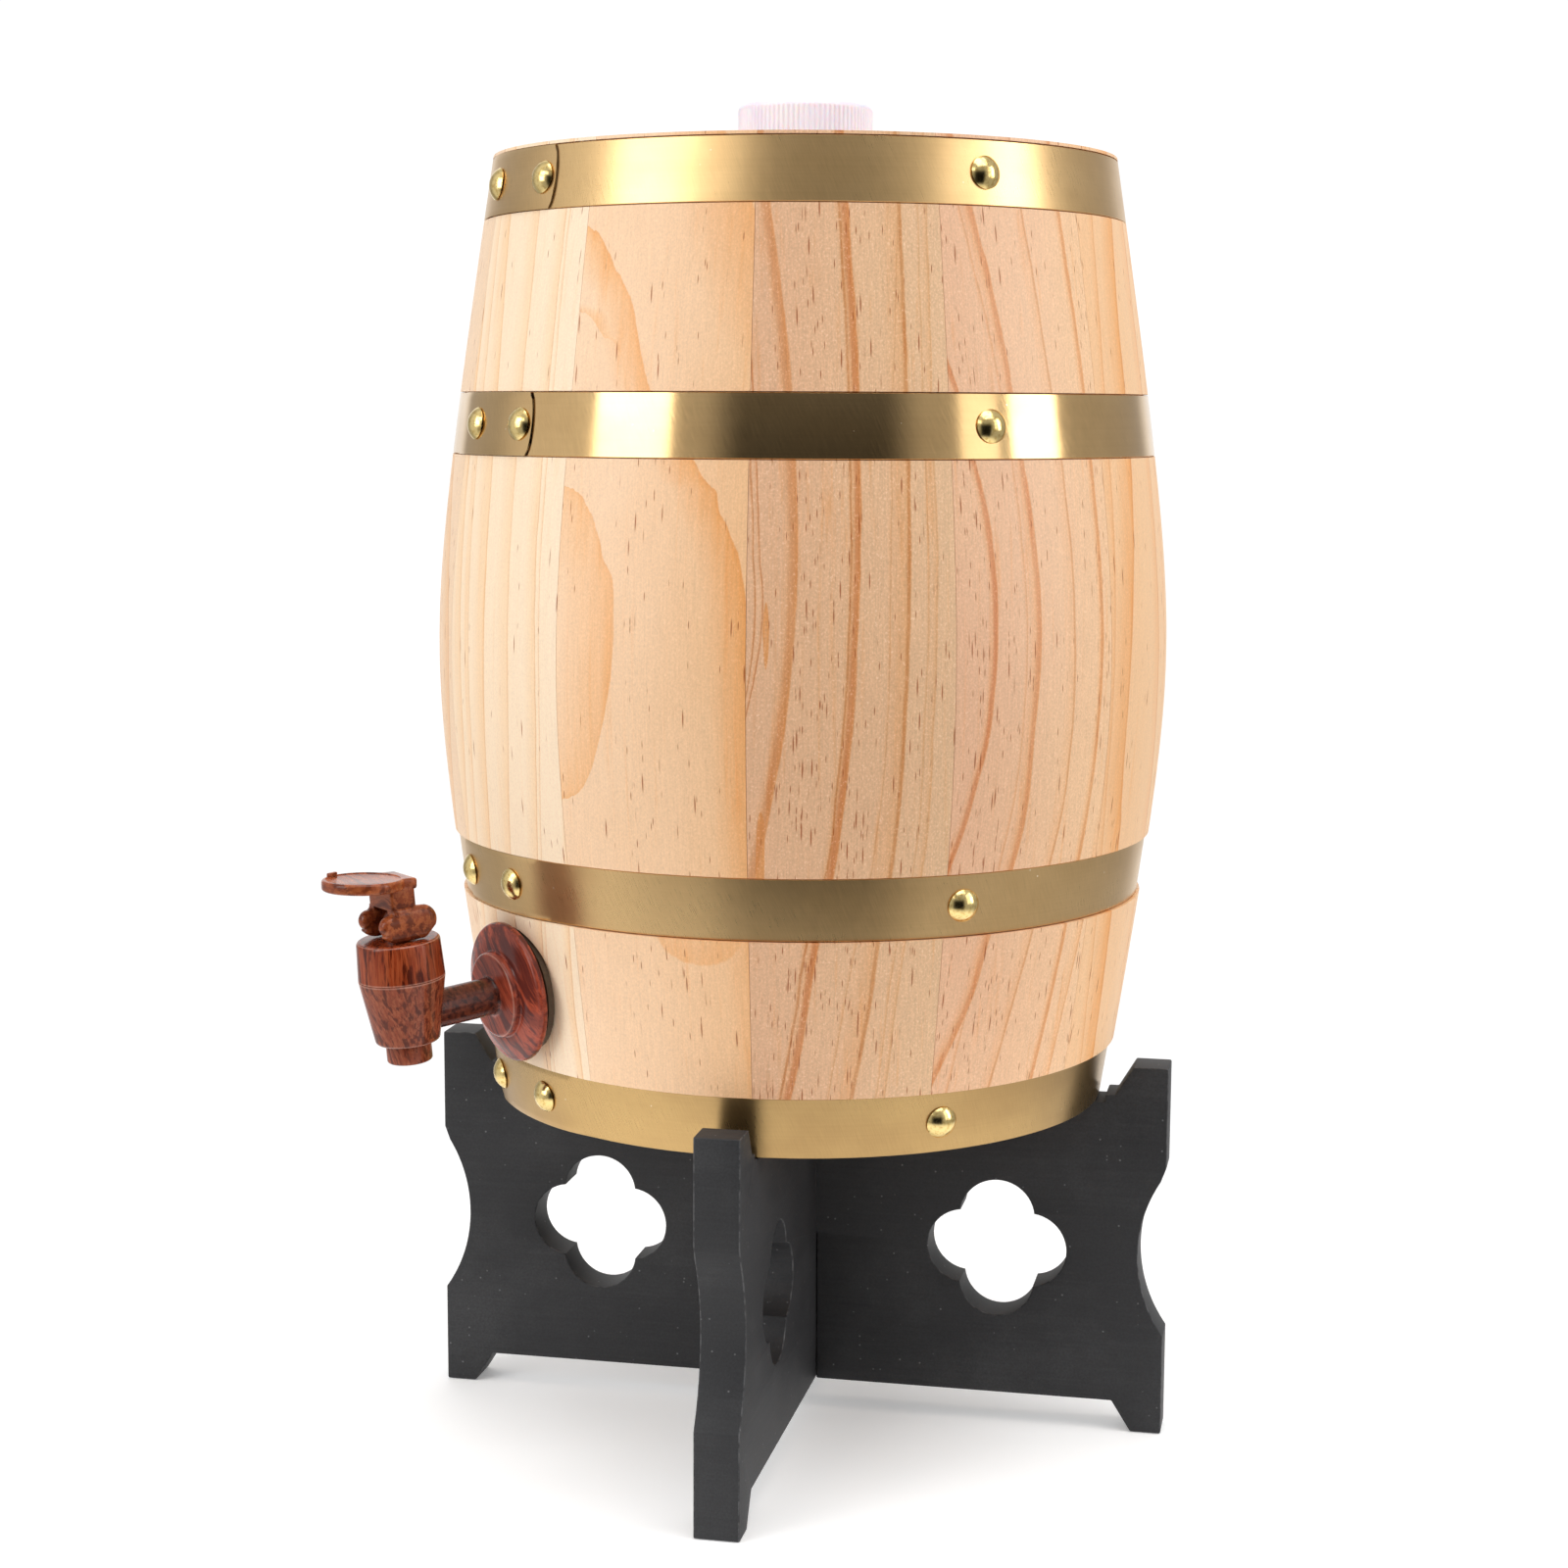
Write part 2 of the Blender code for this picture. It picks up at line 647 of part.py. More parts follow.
def rivet_profile(shank: float):
    """A domed head on a plain shank; the head's seat is at height 0."""
    sphere = (RIVET_HEAD_RADIUS**2 + RIVET_HEAD_HEIGHT**2) / (2 * RIVET_HEAD_HEIGHT)
    edge = atan2(RIVET_HEAD_RADIUS, sphere - RIVET_HEAD_HEIGHT)
    centre = RIVET_HEAD_HEIGHT - sphere
    dome = []
    for i in range(1, RIVET_DOME_STEPS + 1):
        angle = edge * i / RIVET_DOME_STEPS
        dome.append((sphere * sin(angle), centre + sphere * cos(angle)))
    pin = [(RIVET_SHANK_RADIUS, 0.0), (RIVET_SHANK_RADIUS, -shank), (0.0, -shank)]
    return [(0.0, RIVET_HEAD_HEIGHT), *dome, *pin]


def build_fastener(name: str, hoop: Hoop, strap, staves, azimuth_deg: float, layers: int) -> None:
    """A rivet or nail through the strap's layers into the wood, and the hole that it fills."""
    stack = layers * HOOP_THICKNESS + (layers - 1) * HOOP_LAP_GAP
    surface = hoop.bed_radius(hoop.middle) + stack
    angle = angle_of(azimuth_deg)
    slope = wall_slope(hoop.middle)
    lean = pi / 2 + slope
    seat = surface + GAP
    location = (seat * cos(angle), seat * sin(angle), hoop.middle)
    rotation = (0.0, lean, angle)
    shank = stack + GAP + RIVET_GRIP
    turned(name, rivet_profile(shank), RIVET_STEPS, BARREL_AXIS, POLISHED_BRASS, rotation, location)
    hole = rod_profile(RIVET_SHANK_RADIUS + GAP, -shank - GAP, RIVET_HEAD_HEIGHT)
    drill = turned(name + "_hole", hole, RIVET_STEPS, BARREL_AXIS, None, rotation, location)
    modify(strap, drill)
    for stave in staves_under(staves, azimuth_deg, surface, RIVET_SHANK_RADIUS + GAP):
        modify(stave, drill)


def build_hoops(staves) -> None:
    """Every hoop, its two lap rivets and the nails that hold it to the staves."""
    for hoop in HOOPS:
        strap = build_hoop(hoop)
        for number, azimuth in enumerate(hoop.lap_degs, 1):
            build_fastener(f"{hoop.name}_rivet_{number}", hoop, strap, staves, azimuth, 2)
        for number in range(NAILS_PER_HOOP):
            azimuth = hoop.first_nail_deg + number * NAIL_PITCH_DEG
            build_fastener(f"{hoop.name}_nail_{number + 1}", hoop, strap, staves, azimuth, 1)


# Liner tank, filler neck and cap
def liner_radius(height: float) -> float:
    """Outer radius of the liner at a height."""
    return clear_inner_radius(height) - GAP


def build_liner():
    """The thin tank inside the staves, with a neck that runs up inside the filler neck."""
    floor = HEAD_RECESS + HEAD_THICKNESS + GAP
    shoulder = HEAD_TOP_FACE - HEAD_THICKNESS - GAP
    rim = NECK_TOP - GAP
    wall = LINER_WALL
    between = [h for h in INNER_HEIGHTS if floor + wall < h < shoulder - wall]
    heights = [floor, *between, shoulder]
    profile = [(0.0, floor + wall)]
    profile += [(liner_radius(h) - wall, h) for h in (floor + wall, *between, shoulder - wall)]
    profile.append((LINER_NECK_RADIUS - wall, shoulder - wall))
    profile.append((LINER_NECK_RADIUS - wall, rim))
    profile.append((LINER_NECK_RADIUS, rim))
    profile.append((LINER_NECK_RADIUS, shoulder))
    profile += [(liner_radius(h), h) for h in reversed(heights)]
    profile.append((0.0, floor))
    return turned("liner_tank", profile, LINER_STEPS, BARREL_AXIS, TANK_PLASTIC)


def thread_ridge(name: str, root: float, depth: float, first_height: float):
    """A helical ridge that stands depth out of a wall at radius root, or into it if depth is negative."""
    bury = -THREAD_BURY if depth > 0 else THREAD_BURY
    half_root = THREAD_ROOT_WIDTH / 2
    half_crest = THREAD_CREST_WIDTH / 2
    outline = [
        (root + bury, first_height - half_root),
        (root + depth, first_height - half_crest),
        (root + depth, first_height + half_crest),
        (root + bury, first_height + half_root),
    ]
    steps = NECK_STEPS * THREAD_TURNS
    between_facets = pi / NECK_STEPS
    sweep = 2 * pi * THREAD_TURNS
    mesh = swept_mesh(name, outline, between_facets, sweep, steps, THREAD_PITCH * THREAD_TURNS)
    return add(name, mesh, BARREL_AXIS)


THREAD_FOOT = NECK_TOP - THREAD_TOP_DROP - THREAD_TURNS * THREAD_PITCH


def build_neck(middle_board) -> None:
    """The threaded filler neck, held in the top head by its flange."""
    flange_foot = HEAD_TOP_FACE + GAP
    spigot_end = HEAD_TOP_FACE - HEAD_THICKNESS
    bore = LINER_NECK_RADIUS + GAP
    flange = NECK_RADIUS + NECK_FLANGE_WIDTH
    profile = [(NECK_RADIUS, NECK_TOP), (NECK_RADIUS, NECK_FLANGE_TOP), (flange, NECK_FLANGE_TOP),
               (flange, flange_foot), (NECK_RADIUS, flange_foot), (NECK_RADIUS, spigot_end),
               (bore, spigot_end), (bore, NECK_TOP)]
    neck = turned("filler_neck", profile, NECK_STEPS, BARREL_AXIS, WHITE_PLASTIC)
    modify(neck, thread_ridge("neck_thread", NECK_RADIUS, THREAD_DEPTH, THREAD_FOOT), "UNION")
    hole = rod_profile(NECK_RADIUS + GAP, spigot_end - CUT_MARGIN, HEAD_TOP_FACE + CUT_MARGIN)
    modify(middle_board, turned("neck_hole", hole, NECK_STEPS, BARREL_AXIS))


def build_cap() -> None:
    """The screw cap and the sealing disc under its roof."""
    skirt_end = NECK_FLANGE_TOP + RUNNING_GAP
    roof = CAP_TOP - CAP_ROOF
    shoulder = CAP_TOP - CAP_EDGE_ROUND
    corner = arc((CAP_RADIUS - CAP_EDGE_ROUND, shoulder), CAP_EDGE_ROUND, pi / 2, 0.0, 4)
    profile = [(0.0, CAP_TOP), *corner, (CAP_RADIUS, skirt_end), (CAP_BORE_RADIUS, skirt_end),
               (CAP_BORE_RADIUS, roof), (0.0, roof)]
    cap = turned("screw_cap", profile, NECK_STEPS, BARREL_AXIS, WHITE_PLASTIC)
    ridge = thread_ridge("cap_thread", CAP_BORE_RADIUS, -THREAD_DEPTH, THREAD_FOOT - THREAD_PITCH / 2)
    modify(cap, ridge, "UNION")
    disc = rod_profile(CAP_BORE_RADIUS - RUNNING_GAP, CAP_GASKET_TOP - CAP_GASKET_THICKNESS, CAP_GASKET_TOP)
    turned("cap_gasket", disc, NECK_STEPS, BARREL_AXIS, SILICONE)


# Tap
def inner_gasket_face() -> float:
    """Where the inner gasket starts, measured out along the shank: clear of the liner's curved wall."""
    liner_face = STAVE_THICKNESS + LINER_WALL + TAP_WALL_RADIUS - STAVE_THICKNESS - liner_radius(TAP_HEIGHT)
    curve = liner_radius(TAP_HEIGHT) - LINER_WALL
    sag = curve - sqrt(curve**2 - INNER_GASKET_RADIUS**2)
    lean = INNER_GASKET_RADIUS * tan(abs(wall_slope(TAP_HEIGHT) - TAP_TILT))
    return -(liner_face / cos(wall_slope(TAP_HEIGHT)) + sag + lean + LOOSE_GAP)


INNER_GASKET_FACE = inner_gasket_face()
BACK_NUT_FACE = INNER_GASKET_FACE - INNER_GASKET_THICKNESS - GAP
TAIL_END = BACK_NUT_FACE - BACK_NUT_THICKNESS - TAIL_OVERHANG


def shank_profile():
    """The shank: threaded tail, flange, stepped collar and a plain pipe to the body."""
    inside_body = BODY_REACH - CHAMBER_RADIUS / 2
    rim = arc((FLANGE_RADIUS - FLANGE_ROUND, FLANGE_RIM - FLANGE_ROUND), FLANGE_ROUND, pi / 2, 0.0, 3)
    step = arc((COLLAR_RADIUS - COLLAR_ROUND, COLLAR_RIM - COLLAR_ROUND), COLLAR_ROUND, pi / 2, 0.0, 2)
    return [(0.0, inside_body), (SHANK_RADIUS, inside_body), (SHANK_RADIUS, COLLAR_RIM), *step,
            (COLLAR_RADIUS, COLLAR_FOOT), *rim, (FLANGE_RADIUS, FLANGE_BACK), (TAIL_RADIUS, FLANGE_BACK),
            (TAIL_RADIUS, TAIL_END), (0.0, TAIL_END)]


def build_tap_body() -> None:
    """The tap's body with its shank and nozzle, bored for the valve."""
    rounding = BODY_BOTTOM_ROUND
    foot = arc((BODY_BOTTOM_RADIUS - rounding, BODY_BOTTOM + rounding), rounding, 0.0, -pi / 2, 3)
    profile = [(0.0, BODY_TOP), (BODY_TOP_RADIUS, BODY_TOP), *foot, (NOZZLE_RADIUS, BODY_BOTTOM),
               (NOZZLE_RADIUS, NOZZLE_END), (0.0, NOZZLE_END)]
    body = turned("tap_body", profile, TAP_STEPS, BODY_AXIS, ROSEWOOD_PLASTIC)
    shank = turned("tap_shank", shank_profile(), TAP_STEPS, TAP_AXIS, None, ALONG_SHANK)
    modify(body, shank, "UNION")
    skirt_bore = BONNET_SKIRT_RADIUS + RUNNING_GAP
    chamber = [(0.0, BODY_TOP + CUT_MARGIN), (skirt_bore, BODY_TOP + CUT_MARGIN),
               (skirt_bore, BONNET_BORE_FLOOR), (CHAMBER_RADIUS, BONNET_BORE_FLOOR),
               (CHAMBER_RADIUS, CHAMBER_FLOOR), (OUTLET_RADIUS, CHAMBER_FLOOR),
               (OUTLET_RADIUS, NOZZLE_END - CUT_MARGIN), (0.0, NOZZLE_END - CUT_MARGIN)]
    modify(body, turned("valve_chamber", chamber, TAP_STEPS, BODY_AXIS))
    bore = rod_profile(SHANK_BORE_RADIUS, TAIL_END - CUT_MARGIN, BODY_REACH)
    modify(body, turned("shank_bore", bore, TAP_STEPS // 2, TAP_AXIS, None, ALONG_SHANK))


def build_tap_seals(stave, liner) -> None:
    """The holes and the seat in the wall, the two gaskets and the back nut."""
    hole = rod_profile(TAIL_RADIUS + RUNNING_GAP, TAIL_END, FLANGE_RIM)
    drill = turned("tap_hole", hole, TAP_STEPS, TAP_AXIS, None, ALONG_SHANK)
    modify(stave, drill)
    modify(liner, drill)
    seat = rod_profile(FLANGE_RADIUS + LOOSE_GAP, -FLANGE_SEAT_DEPTH, COLLAR_RIM)
    modify(stave, turned("flange_seat", seat, TAP_STEPS, TAP_AXIS, None, ALONG_SHANK))
    ring_bore = TAIL_RADIUS + GAP
    outer = tube_profile(OUTER_GASKET_RADIUS, ring_bore, -FLANGE_SEAT_DEPTH + GAP, FLANGE_BACK - GAP)
    turned("outer_gasket", outer, TAP_STEPS, TAP_AXIS, RUBBER, ALONG_SHANK)
    gasket_end = INNER_GASKET_FACE - INNER_GASKET_THICKNESS
    inner = tube_profile(INNER_GASKET_RADIUS, ring_bore, gasket_end, INNER_GASKET_FACE)
    turned("inner_gasket", inner, TAP_STEPS, TAP_AXIS, RUBBER, ALONG_SHANK)
    nut_end = BACK_NUT_FACE - BACK_NUT_THICKNESS
    blank = rod_profile(BACK_NUT_RADIUS, nut_end, BACK_NUT_FACE)
    nut = turned("back_nut", blank, NUT_SIDES, TAP_AXIS, LEVER_PLASTIC, ALONG_SHANK)
    nut_bore = rod_profile(ring_bore, nut_end - CUT_MARGIN, BACK_NUT_FACE + CUT_MARGIN)
    modify(nut, turned("back_nut_bore", nut_bore, TAP_STEPS, TAP_AXIS, None, ALONG_SHANK))


def build_bonnet() -> None:
    """The bonnet that closes the valve chamber and guides the stem."""
    shoulder = BODY_TOP + GAP
    skirt_end = BONNET_BORE_FLOOR + GAP
    hollow = BONNET_SKIRT_RADIUS - BONNET_SKIRT_WALL
    roof = BONNET_TOP - BONNET_ROOF
    rounding = BONNET_ROUND
    edge = arc((BONNET_TOP_RADIUS - rounding, BONNET_TOP - rounding), rounding, pi / 2, 0.0, 3)
    profile = [(STEM_RADIUS + RUNNING_GAP, BONNET_TOP), *edge, (BODY_TOP_RADIUS, shoulder),
               (BONNET_SKIRT_RADIUS, shoulder), (BONNET_SKIRT_RADIUS, skirt_end), (hollow, skirt_end),
               (hollow, roof), (STEM_RADIUS + RUNNING_GAP, roof)]
    turned("tap_bonnet", profile, TAP_STEPS, BODY_AXIS, ROSEWOOD_PLASTIC)


def build_valve() -> None:
    """The stem that the lever lifts, its seal, and the spring that pushes both down."""
    seal_foot = CHAMBER_FLOOR + GAP
    seal_top = seal_foot + SEAL_THICKNESS
    socket = seal_top - SEAL_SOCKET_DEPTH
    seal = [(0.0, socket), (SEAL_SOCKET_RADIUS, socket), (SEAL_SOCKET_RADIUS, seal_top),
            (SEAL_RADIUS, seal_top), (SEAL_RADIUS, seal_foot), (0.0, seal_foot)]
    turned("valve_seal", seal, TAP_STEPS, BODY_AXIS, SILICONE)
    dome = arc((0.0, PIVOT_HEIGHT), EYE_RADIUS, pi / 2, 0.0, 4)
    pip = SEAL_SOCKET_RADIUS - GAP
    collar_foot = STEM_COLLAR_TOP - STEM_COLLAR_THICKNESS
    profile = [(0.0, dome[0][1]), *dome[1:], (STEM_RADIUS, STEM_COLLAR_TOP),
               (STEM_COLLAR_RADIUS, STEM_COLLAR_TOP), (STEM_COLLAR_RADIUS, collar_foot),
               (STEM_RADIUS, collar_foot), (STEM_RADIUS, seal_top + GAP), (pip, seal_top + GAP),
               (pip, socket + GAP), (0.0, socket + GAP)]
    stem = turned("valve_stem", profile, TAP_STEPS // 2, BODY_AXIS, SILICONE)
    eye = rod_profile(PIN_RADIUS + GAP, -STEM_RADIUS - CUT_MARGIN, STEM_RADIUS + CUT_MARGIN)
    modify(stem, turned("stem_eye", eye, RIVET_STEPS, LEVER_PIVOT, None, ACROSS))
    build_spring()


def build_spring() -> None:
    """The compression spring between the stem's collar and the bonnet's roof."""
    low = STEM_COLLAR_TOP + GAP + SPRING_WIRE_RADIUS
    high = BONNET_TOP - BONNET_ROOF - GAP - SPRING_WIRE_RADIUS
    count = SPRING_TURNS * SPRING_STEPS_PER_TURN
    curve = bpy.data.curves.new("valve_spring", "CURVE")
    curve.dimensions = "3D"
    curve.bevel_depth = SPRING_WIRE_RADIUS
    curve.bevel_resolution = 1
    curve.use_fill_caps = True
    spline = curve.splines.new("POLY")
    spline.points.add(count)
    for i, point in enumerate(spline.points):
        angle = 2 * pi * i / SPRING_STEPS_PER_TURN
        height = low + (high - low) * i / count
        point.co = (SPRING_RADIUS * cos(angle), SPRING_RADIUS * sin(angle), height, 1.0)
    add("valve_spring", curve, BODY_AXIS, STEEL)


def cam_outline():
    """A cheek's side view about the pivot, outward and up.

    The foot is flat behind the pivot. Ahead of it runs an involute, so that pressing the lever
    lifts the pivot by the same amount for each degree.
    """
    travel = radians(CAM_TRAVEL_DEG + CAM_SPARE_DEG)
    face = []
    for i in range(CAM_STEPS + 1):
        angle = travel * i / CAM_STEPS
        reach = CAM_BASE + CAM_LIFT_PER_RAD * angle
        out = reach * sin(angle) + CAM_LIFT_PER_RAD * cos(angle)
        up = -reach * cos(angle) + CAM_LIFT_PER_RAD * sin(angle)
        face.append((out, up))
    lobe_centre = (-LOBE_SETBACK, CAM_BASE - LOBE_RADIUS)
    lobe = arc(lobe_centre, LOBE_RADIUS, radians(LOBE_START_DEG), radians(LOBE_END_DEG), LOBE_STEPS)
    heel = (-CAM_HEEL, -CAM_BASE)
    front = face[-1]
    chin = (front[0] - CAM_BASE / 4, front[1] + CAM_BASE / 2)
    inside_block = BLOCK_FOOT + CUT_MARGIN
    return [heel, *face, chin, (BLOCK_FRONT, BLOCK_FOOT), (BLOCK_FRONT, inside_block),
            (-BLOCK_BACK, inside_block), *lobe]


def pad_outline():
    """The thumb pad seen from above: a round pad with a square tail over the block."""
    join = PAD_CENTRE - sqrt(PAD_RADIUS**2 - BLOCK_HALF_WIDTH**2)
    angle = atan2(BLOCK_HALF_WIDTH, join - PAD_CENTRE)
    round_part = arc((PAD_CENTRE, 0.0), PAD_RADIUS, -angle, angle, PAD_STEPS)
    return [(-PAD_TAIL, BLOCK_HALF_WIDTH), (-PAD_TAIL, -BLOCK_HALF_WIDTH), *round_part]


def build_lever() -> None:
    """The lever: two cam cheeks astride the stem, a block and a thumb pad, and its pin."""
    lever = plate("tap_lever", [cam_outline()], 2 * CHEEK_HALF_WIDTH, LEVER_PIVOT, LEVER_PLASTIC, SIDE_PLANE)
    block = box("lever_block", (-BLOCK_HALF_WIDTH, -BLOCK_FRONT, BLOCK_FOOT),
                (BLOCK_HALF_WIDTH, BLOCK_BACK, BLOCK_RISE + PAD_THICKNESS / 2), LEVER_PIVOT)
    modify(lever, block, "UNION")
    pad_middle = PAD_FOOT + PAD_THICKNESS / 2
    pad = plate("lever_pad", [pad_outline()], PAD_THICKNESS, LEVER_PIVOT, None, LEVEL_PLANE,
                (0.0, 0.0, pad_middle))
    modify(lever, pad, "UNION")
    slot_reach = CAM_BASE * 3
    slot = box("lever_slot", (-SLOT_HALF_WIDTH, -slot_reach, -slot_reach),
               (SLOT_HALF_WIDTH, slot_reach, EYE_RADIUS + LOOSE_GAP), LEVER_PIVOT)
    modify(lever, slot)
    bore = rod_profile(PIN_RADIUS + GAP, -PIN_HALF_LENGTH - GAP, PIN_HALF_LENGTH + GAP)
    modify(lever, turned("pin_bore", bore, RIVET_STEPS, LEVER_PIVOT, None, ACROSS))
    pin = rod_profile(PIN_RADIUS, -PIN_HALF_LENGTH, PIN_HALF_LENGTH)
    turned("lever_pin", pin, RIVET_STEPS, LEVER_PIVOT, STEEL, ACROSS)


# Stand
def board_half():
    """Right half of a board's outline, from the arch round the foot and the horn to the rest."""
    end = ARM_LENGTH
    waist_top = (end - WAIST_CHAMFER, WAIST_HIGH)
    waist = sagged_arc((end, WAIST_LOW), waist_top, WAIST_DEPTH, WAIST_STEPS)
    notch = STAND_HEIGHT - HORN_RISE
    horn_inner = end - HORN_WIDTH
    horn_foot = horn_inner - HORN_SLANT
    foot_inner = end - FOOT_WIDTH
    return [(foot_inner - FOOT_SLANT, FOOT_HEIGHT), (foot_inner, 0.0), (end, 0.0), *waist,
            (end, WAIST_HIGH + WAIST_CHAMFER_RISE), (end, STAND_HEIGHT), (horn_inner, STAND_HEIGHT),
            (horn_foot, notch), (REST_RADIUS, notch), (REST_RADIUS, REST_HEIGHT)]


def quatrefoil(centre_across: float):
    """A cut-out of four round lobes."""
    offset = CUTOUT_LOBE_OFFSET
    diagonal = (offset + sqrt(2 * CUTOUT_LOBE_RADIUS**2 - offset**2)) / 2
    half_angle = atan2(diagonal, diagonal - offset)
    points = []
    for quarter in range(4):
        facing = quarter * pi / 2
        centre = (centre_across + offset * cos(facing), CUTOUT_HEIGHT + offset * sin(facing))
        lobe = arc(centre, CUTOUT_LOBE_RADIUS, facing - half_angle, facing + half_angle, CUTOUT_LOBE_STEPS)
        points += lobe[:-1]
    return points


def build_board(name: str, turn_deg: float, slot_from_top: bool) -> None:
    """One of the two crossed boards, halved where they cross."""
    half = board_half()
    slot = BOARD_THICKNESS / 2 + GAP
    crossing = (REST_HEIGHT + FOOT_HEIGHT) / 2
    mirrored = [(-across, up) for across, up in reversed(half)]
    if slot_from_top:
        floor = crossing - GAP / 2
        middle = [(slot, REST_HEIGHT), (slot, floor), (-slot, floor), (-slot, REST_HEIGHT)]
        outline = [*half, *middle, *mirrored]
    else:
        roof = crossing + GAP / 2
        middle = [(-slot, FOOT_HEIGHT), (-slot, roof), (slot, roof), (slot, FOOT_HEIGHT)]
        outline = [*half, *mirrored, *middle]
    cutout = ARM_LENGTH - CUTOUT_SETBACK
    outlines = [outline, quatrefoil(cutout), quatrefoil(-cutout)]
    rotation = (pi / 2, 0.0, angle_of(turn_deg))
    plate(name, outlines, BOARD_THICKNESS, STAND_AXIS, BLACK_PAINT, rotation)


STAVES = build_staves()
TOP_MIDDLE_BOARD = build_head("top_head", TOP_TONGUE)
build_head("bottom_head", BOTTOM_TONGUE)
build_hoops(STAVES)
LINER = build_liner()
build_neck(TOP_MIDDLE_BOARD)
build_cap()
build_tap_body()
build_tap_seals(STAVES[0], LINER)
build_bonnet()
build_valve()
build_lever()
build_board("stand_board_lower", STAND_TURN_DEG, True)
build_board("stand_board_upper", STAND_TURN_DEG + 90.0, False)
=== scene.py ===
"""Looks of an upright wooden barrel with a lever tap and a screw cap, on a cross stand.

Lengths are in metres and +Z is up. The tap points along -Y and the stand's feet rest on z = 0.
Heights on the barrel are measured from its foot, and azimuths go from the tap towards +X.
"""

import logging
from dataclasses import dataclass, replace
from enum import Enum
from math import asin, atan, atan2, cos, degrees, hypot, pi, radians, sin, sqrt
from random import Random
from typing import Union

import bmesh
import bpy
from mathutils import Euler, Matrix, Vector


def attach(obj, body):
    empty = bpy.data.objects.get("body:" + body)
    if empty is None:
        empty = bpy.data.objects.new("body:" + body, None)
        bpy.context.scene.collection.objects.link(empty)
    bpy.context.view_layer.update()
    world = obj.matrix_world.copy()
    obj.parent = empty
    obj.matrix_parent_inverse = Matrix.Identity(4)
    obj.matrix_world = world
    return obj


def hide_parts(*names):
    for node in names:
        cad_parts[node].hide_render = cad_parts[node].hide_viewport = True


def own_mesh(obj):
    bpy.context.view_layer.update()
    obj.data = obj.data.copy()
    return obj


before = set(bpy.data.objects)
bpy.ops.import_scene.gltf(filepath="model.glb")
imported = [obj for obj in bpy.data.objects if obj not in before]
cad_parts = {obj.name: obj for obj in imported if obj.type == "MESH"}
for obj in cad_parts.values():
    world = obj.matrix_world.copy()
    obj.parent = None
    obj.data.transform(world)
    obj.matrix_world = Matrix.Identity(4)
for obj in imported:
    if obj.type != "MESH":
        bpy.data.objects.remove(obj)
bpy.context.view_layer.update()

Mesh = bpy.types.Mesh
Material = bpy.types.Material
Socket = bpy.types.NodeSocket
Colour = tuple[float, float, float]
Place = tuple[float, float, float]
Point = tuple[float, float]
Profile = list[Point]

LOG = logging.getLogger("barrel")
SEED = 7
MM = 1000.0
# Edge marks: worn paint on the stand; worn print with a painted highlight on the tap
WEAR_AND_HIGHLIGHT_EDGE = "worn_edge"

# What counts as a sharp edge, a corner to be rounded, one vertex and a vertex on an edge
SHARP_ANGLE = radians(32.0)
LEAST_CORNER = radians(20.0)
WELD = 0.000002
ON_EDGE = 0.00003

# Clearances
GAP = 0.0003
RUNNING_GAP = 0.0004
LOOSE_GAP = 0.0008

# Where the barrel, the tap and the lever stand
AXIS_Y = 0.028917775
BARREL_FOOT = 0.1177
BARREL_HEIGHT = 0.3185
BILGE_RADIUS = 0.125
BILGE_HEIGHT = 0.1535
BILGE_BLEND = 0.052
WALL_TAPER = 0.165
TAP_HEIGHT = 0.046
TAP_FROM_AXIS = 0.113876
TAP_TILT = radians(5.35)
BODY_REACH = 0.0418
PIVOT_HEIGHT = 0.0315


def paint(red: int, green: int, blue: int) -> Colour:
    """A linear colour from the numbers that a screen shows."""
    shares = [c / 255 for c in (red, green, blue)]
    return tuple(c / 12.92 if c <= 0.04045 else ((c + 0.055) / 1.055) ** 2.4 for c in shares)


def blended(first: Colour, second: Colour, share: float) -> Colour:
    """A colour between two others."""
    return tuple(a + (b - a) * share for a, b in zip(first, second))


def spaced(start: float, end: float, count: int) -> list[float]:
    """Evenly spaced values, ends included."""
    return [start + (end - start) * i / (count - 1) for i in range(count)]


def wall_radius(height: float) -> float:
    """Outer radius of the wood at a height."""
    return BILGE_RADIUS - WALL_TAPER * (hypot(BILGE_BLEND, height - BILGE_HEIGHT) - BILGE_BLEND)


def wall_slope(height: float) -> float:
    """Angle by which the wall's outward normal leans down at a height."""
    rise = BILGE_HEIGHT - height
    return atan(WALL_TAPER * rise / hypot(BILGE_BLEND, rise))


def angle_of(azimuth_deg: float) -> float:
    """Angle about Z, from +X, of an azimuth that is measured from the tap."""
    return radians(azimuth_deg) - pi / 2


def arc(centre: Point, radius: float, start: float, end: float, steps: int) -> Profile:
    """Points of an arc, both ends included; the angles are in radians."""
    angles = [start + (end - start) * i / steps for i in range(steps + 1)]
    return [(centre[0] + radius * cos(a), centre[1] + radius * sin(a)) for a in angles]


def top_corner(radius: float, height: float, ease: float, steps: int) -> Profile:
    """The rounded upper corner of a turned piece, from its top down."""
    return arc((radius - ease, height - ease), ease, pi / 2, 0.0, steps)


def foot_corner(radius: float, height: float, ease: float, steps: int) -> Profile:
    """The rounded lower corner of a turned piece, from its side in."""
    return arc((radius - ease, height + ease), ease, 0.0, -pi / 2, steps)


def around(radius: float, angle: float, height: float) -> Place:
    """A point at an angle about the barrel's axis."""
    return (radius * cos(angle), AXIS_Y + radius * sin(angle), height)


def raised(height: float) -> Matrix:
    """Moves up along Z."""
    return Matrix.Translation((0.0, 0.0, height))


def standing(angle: float) -> Matrix:
    """Stands a flat plane on its edge and turns it about Z."""
    return Euler((pi / 2, 0.0, angle)).to_matrix().to_4x4()


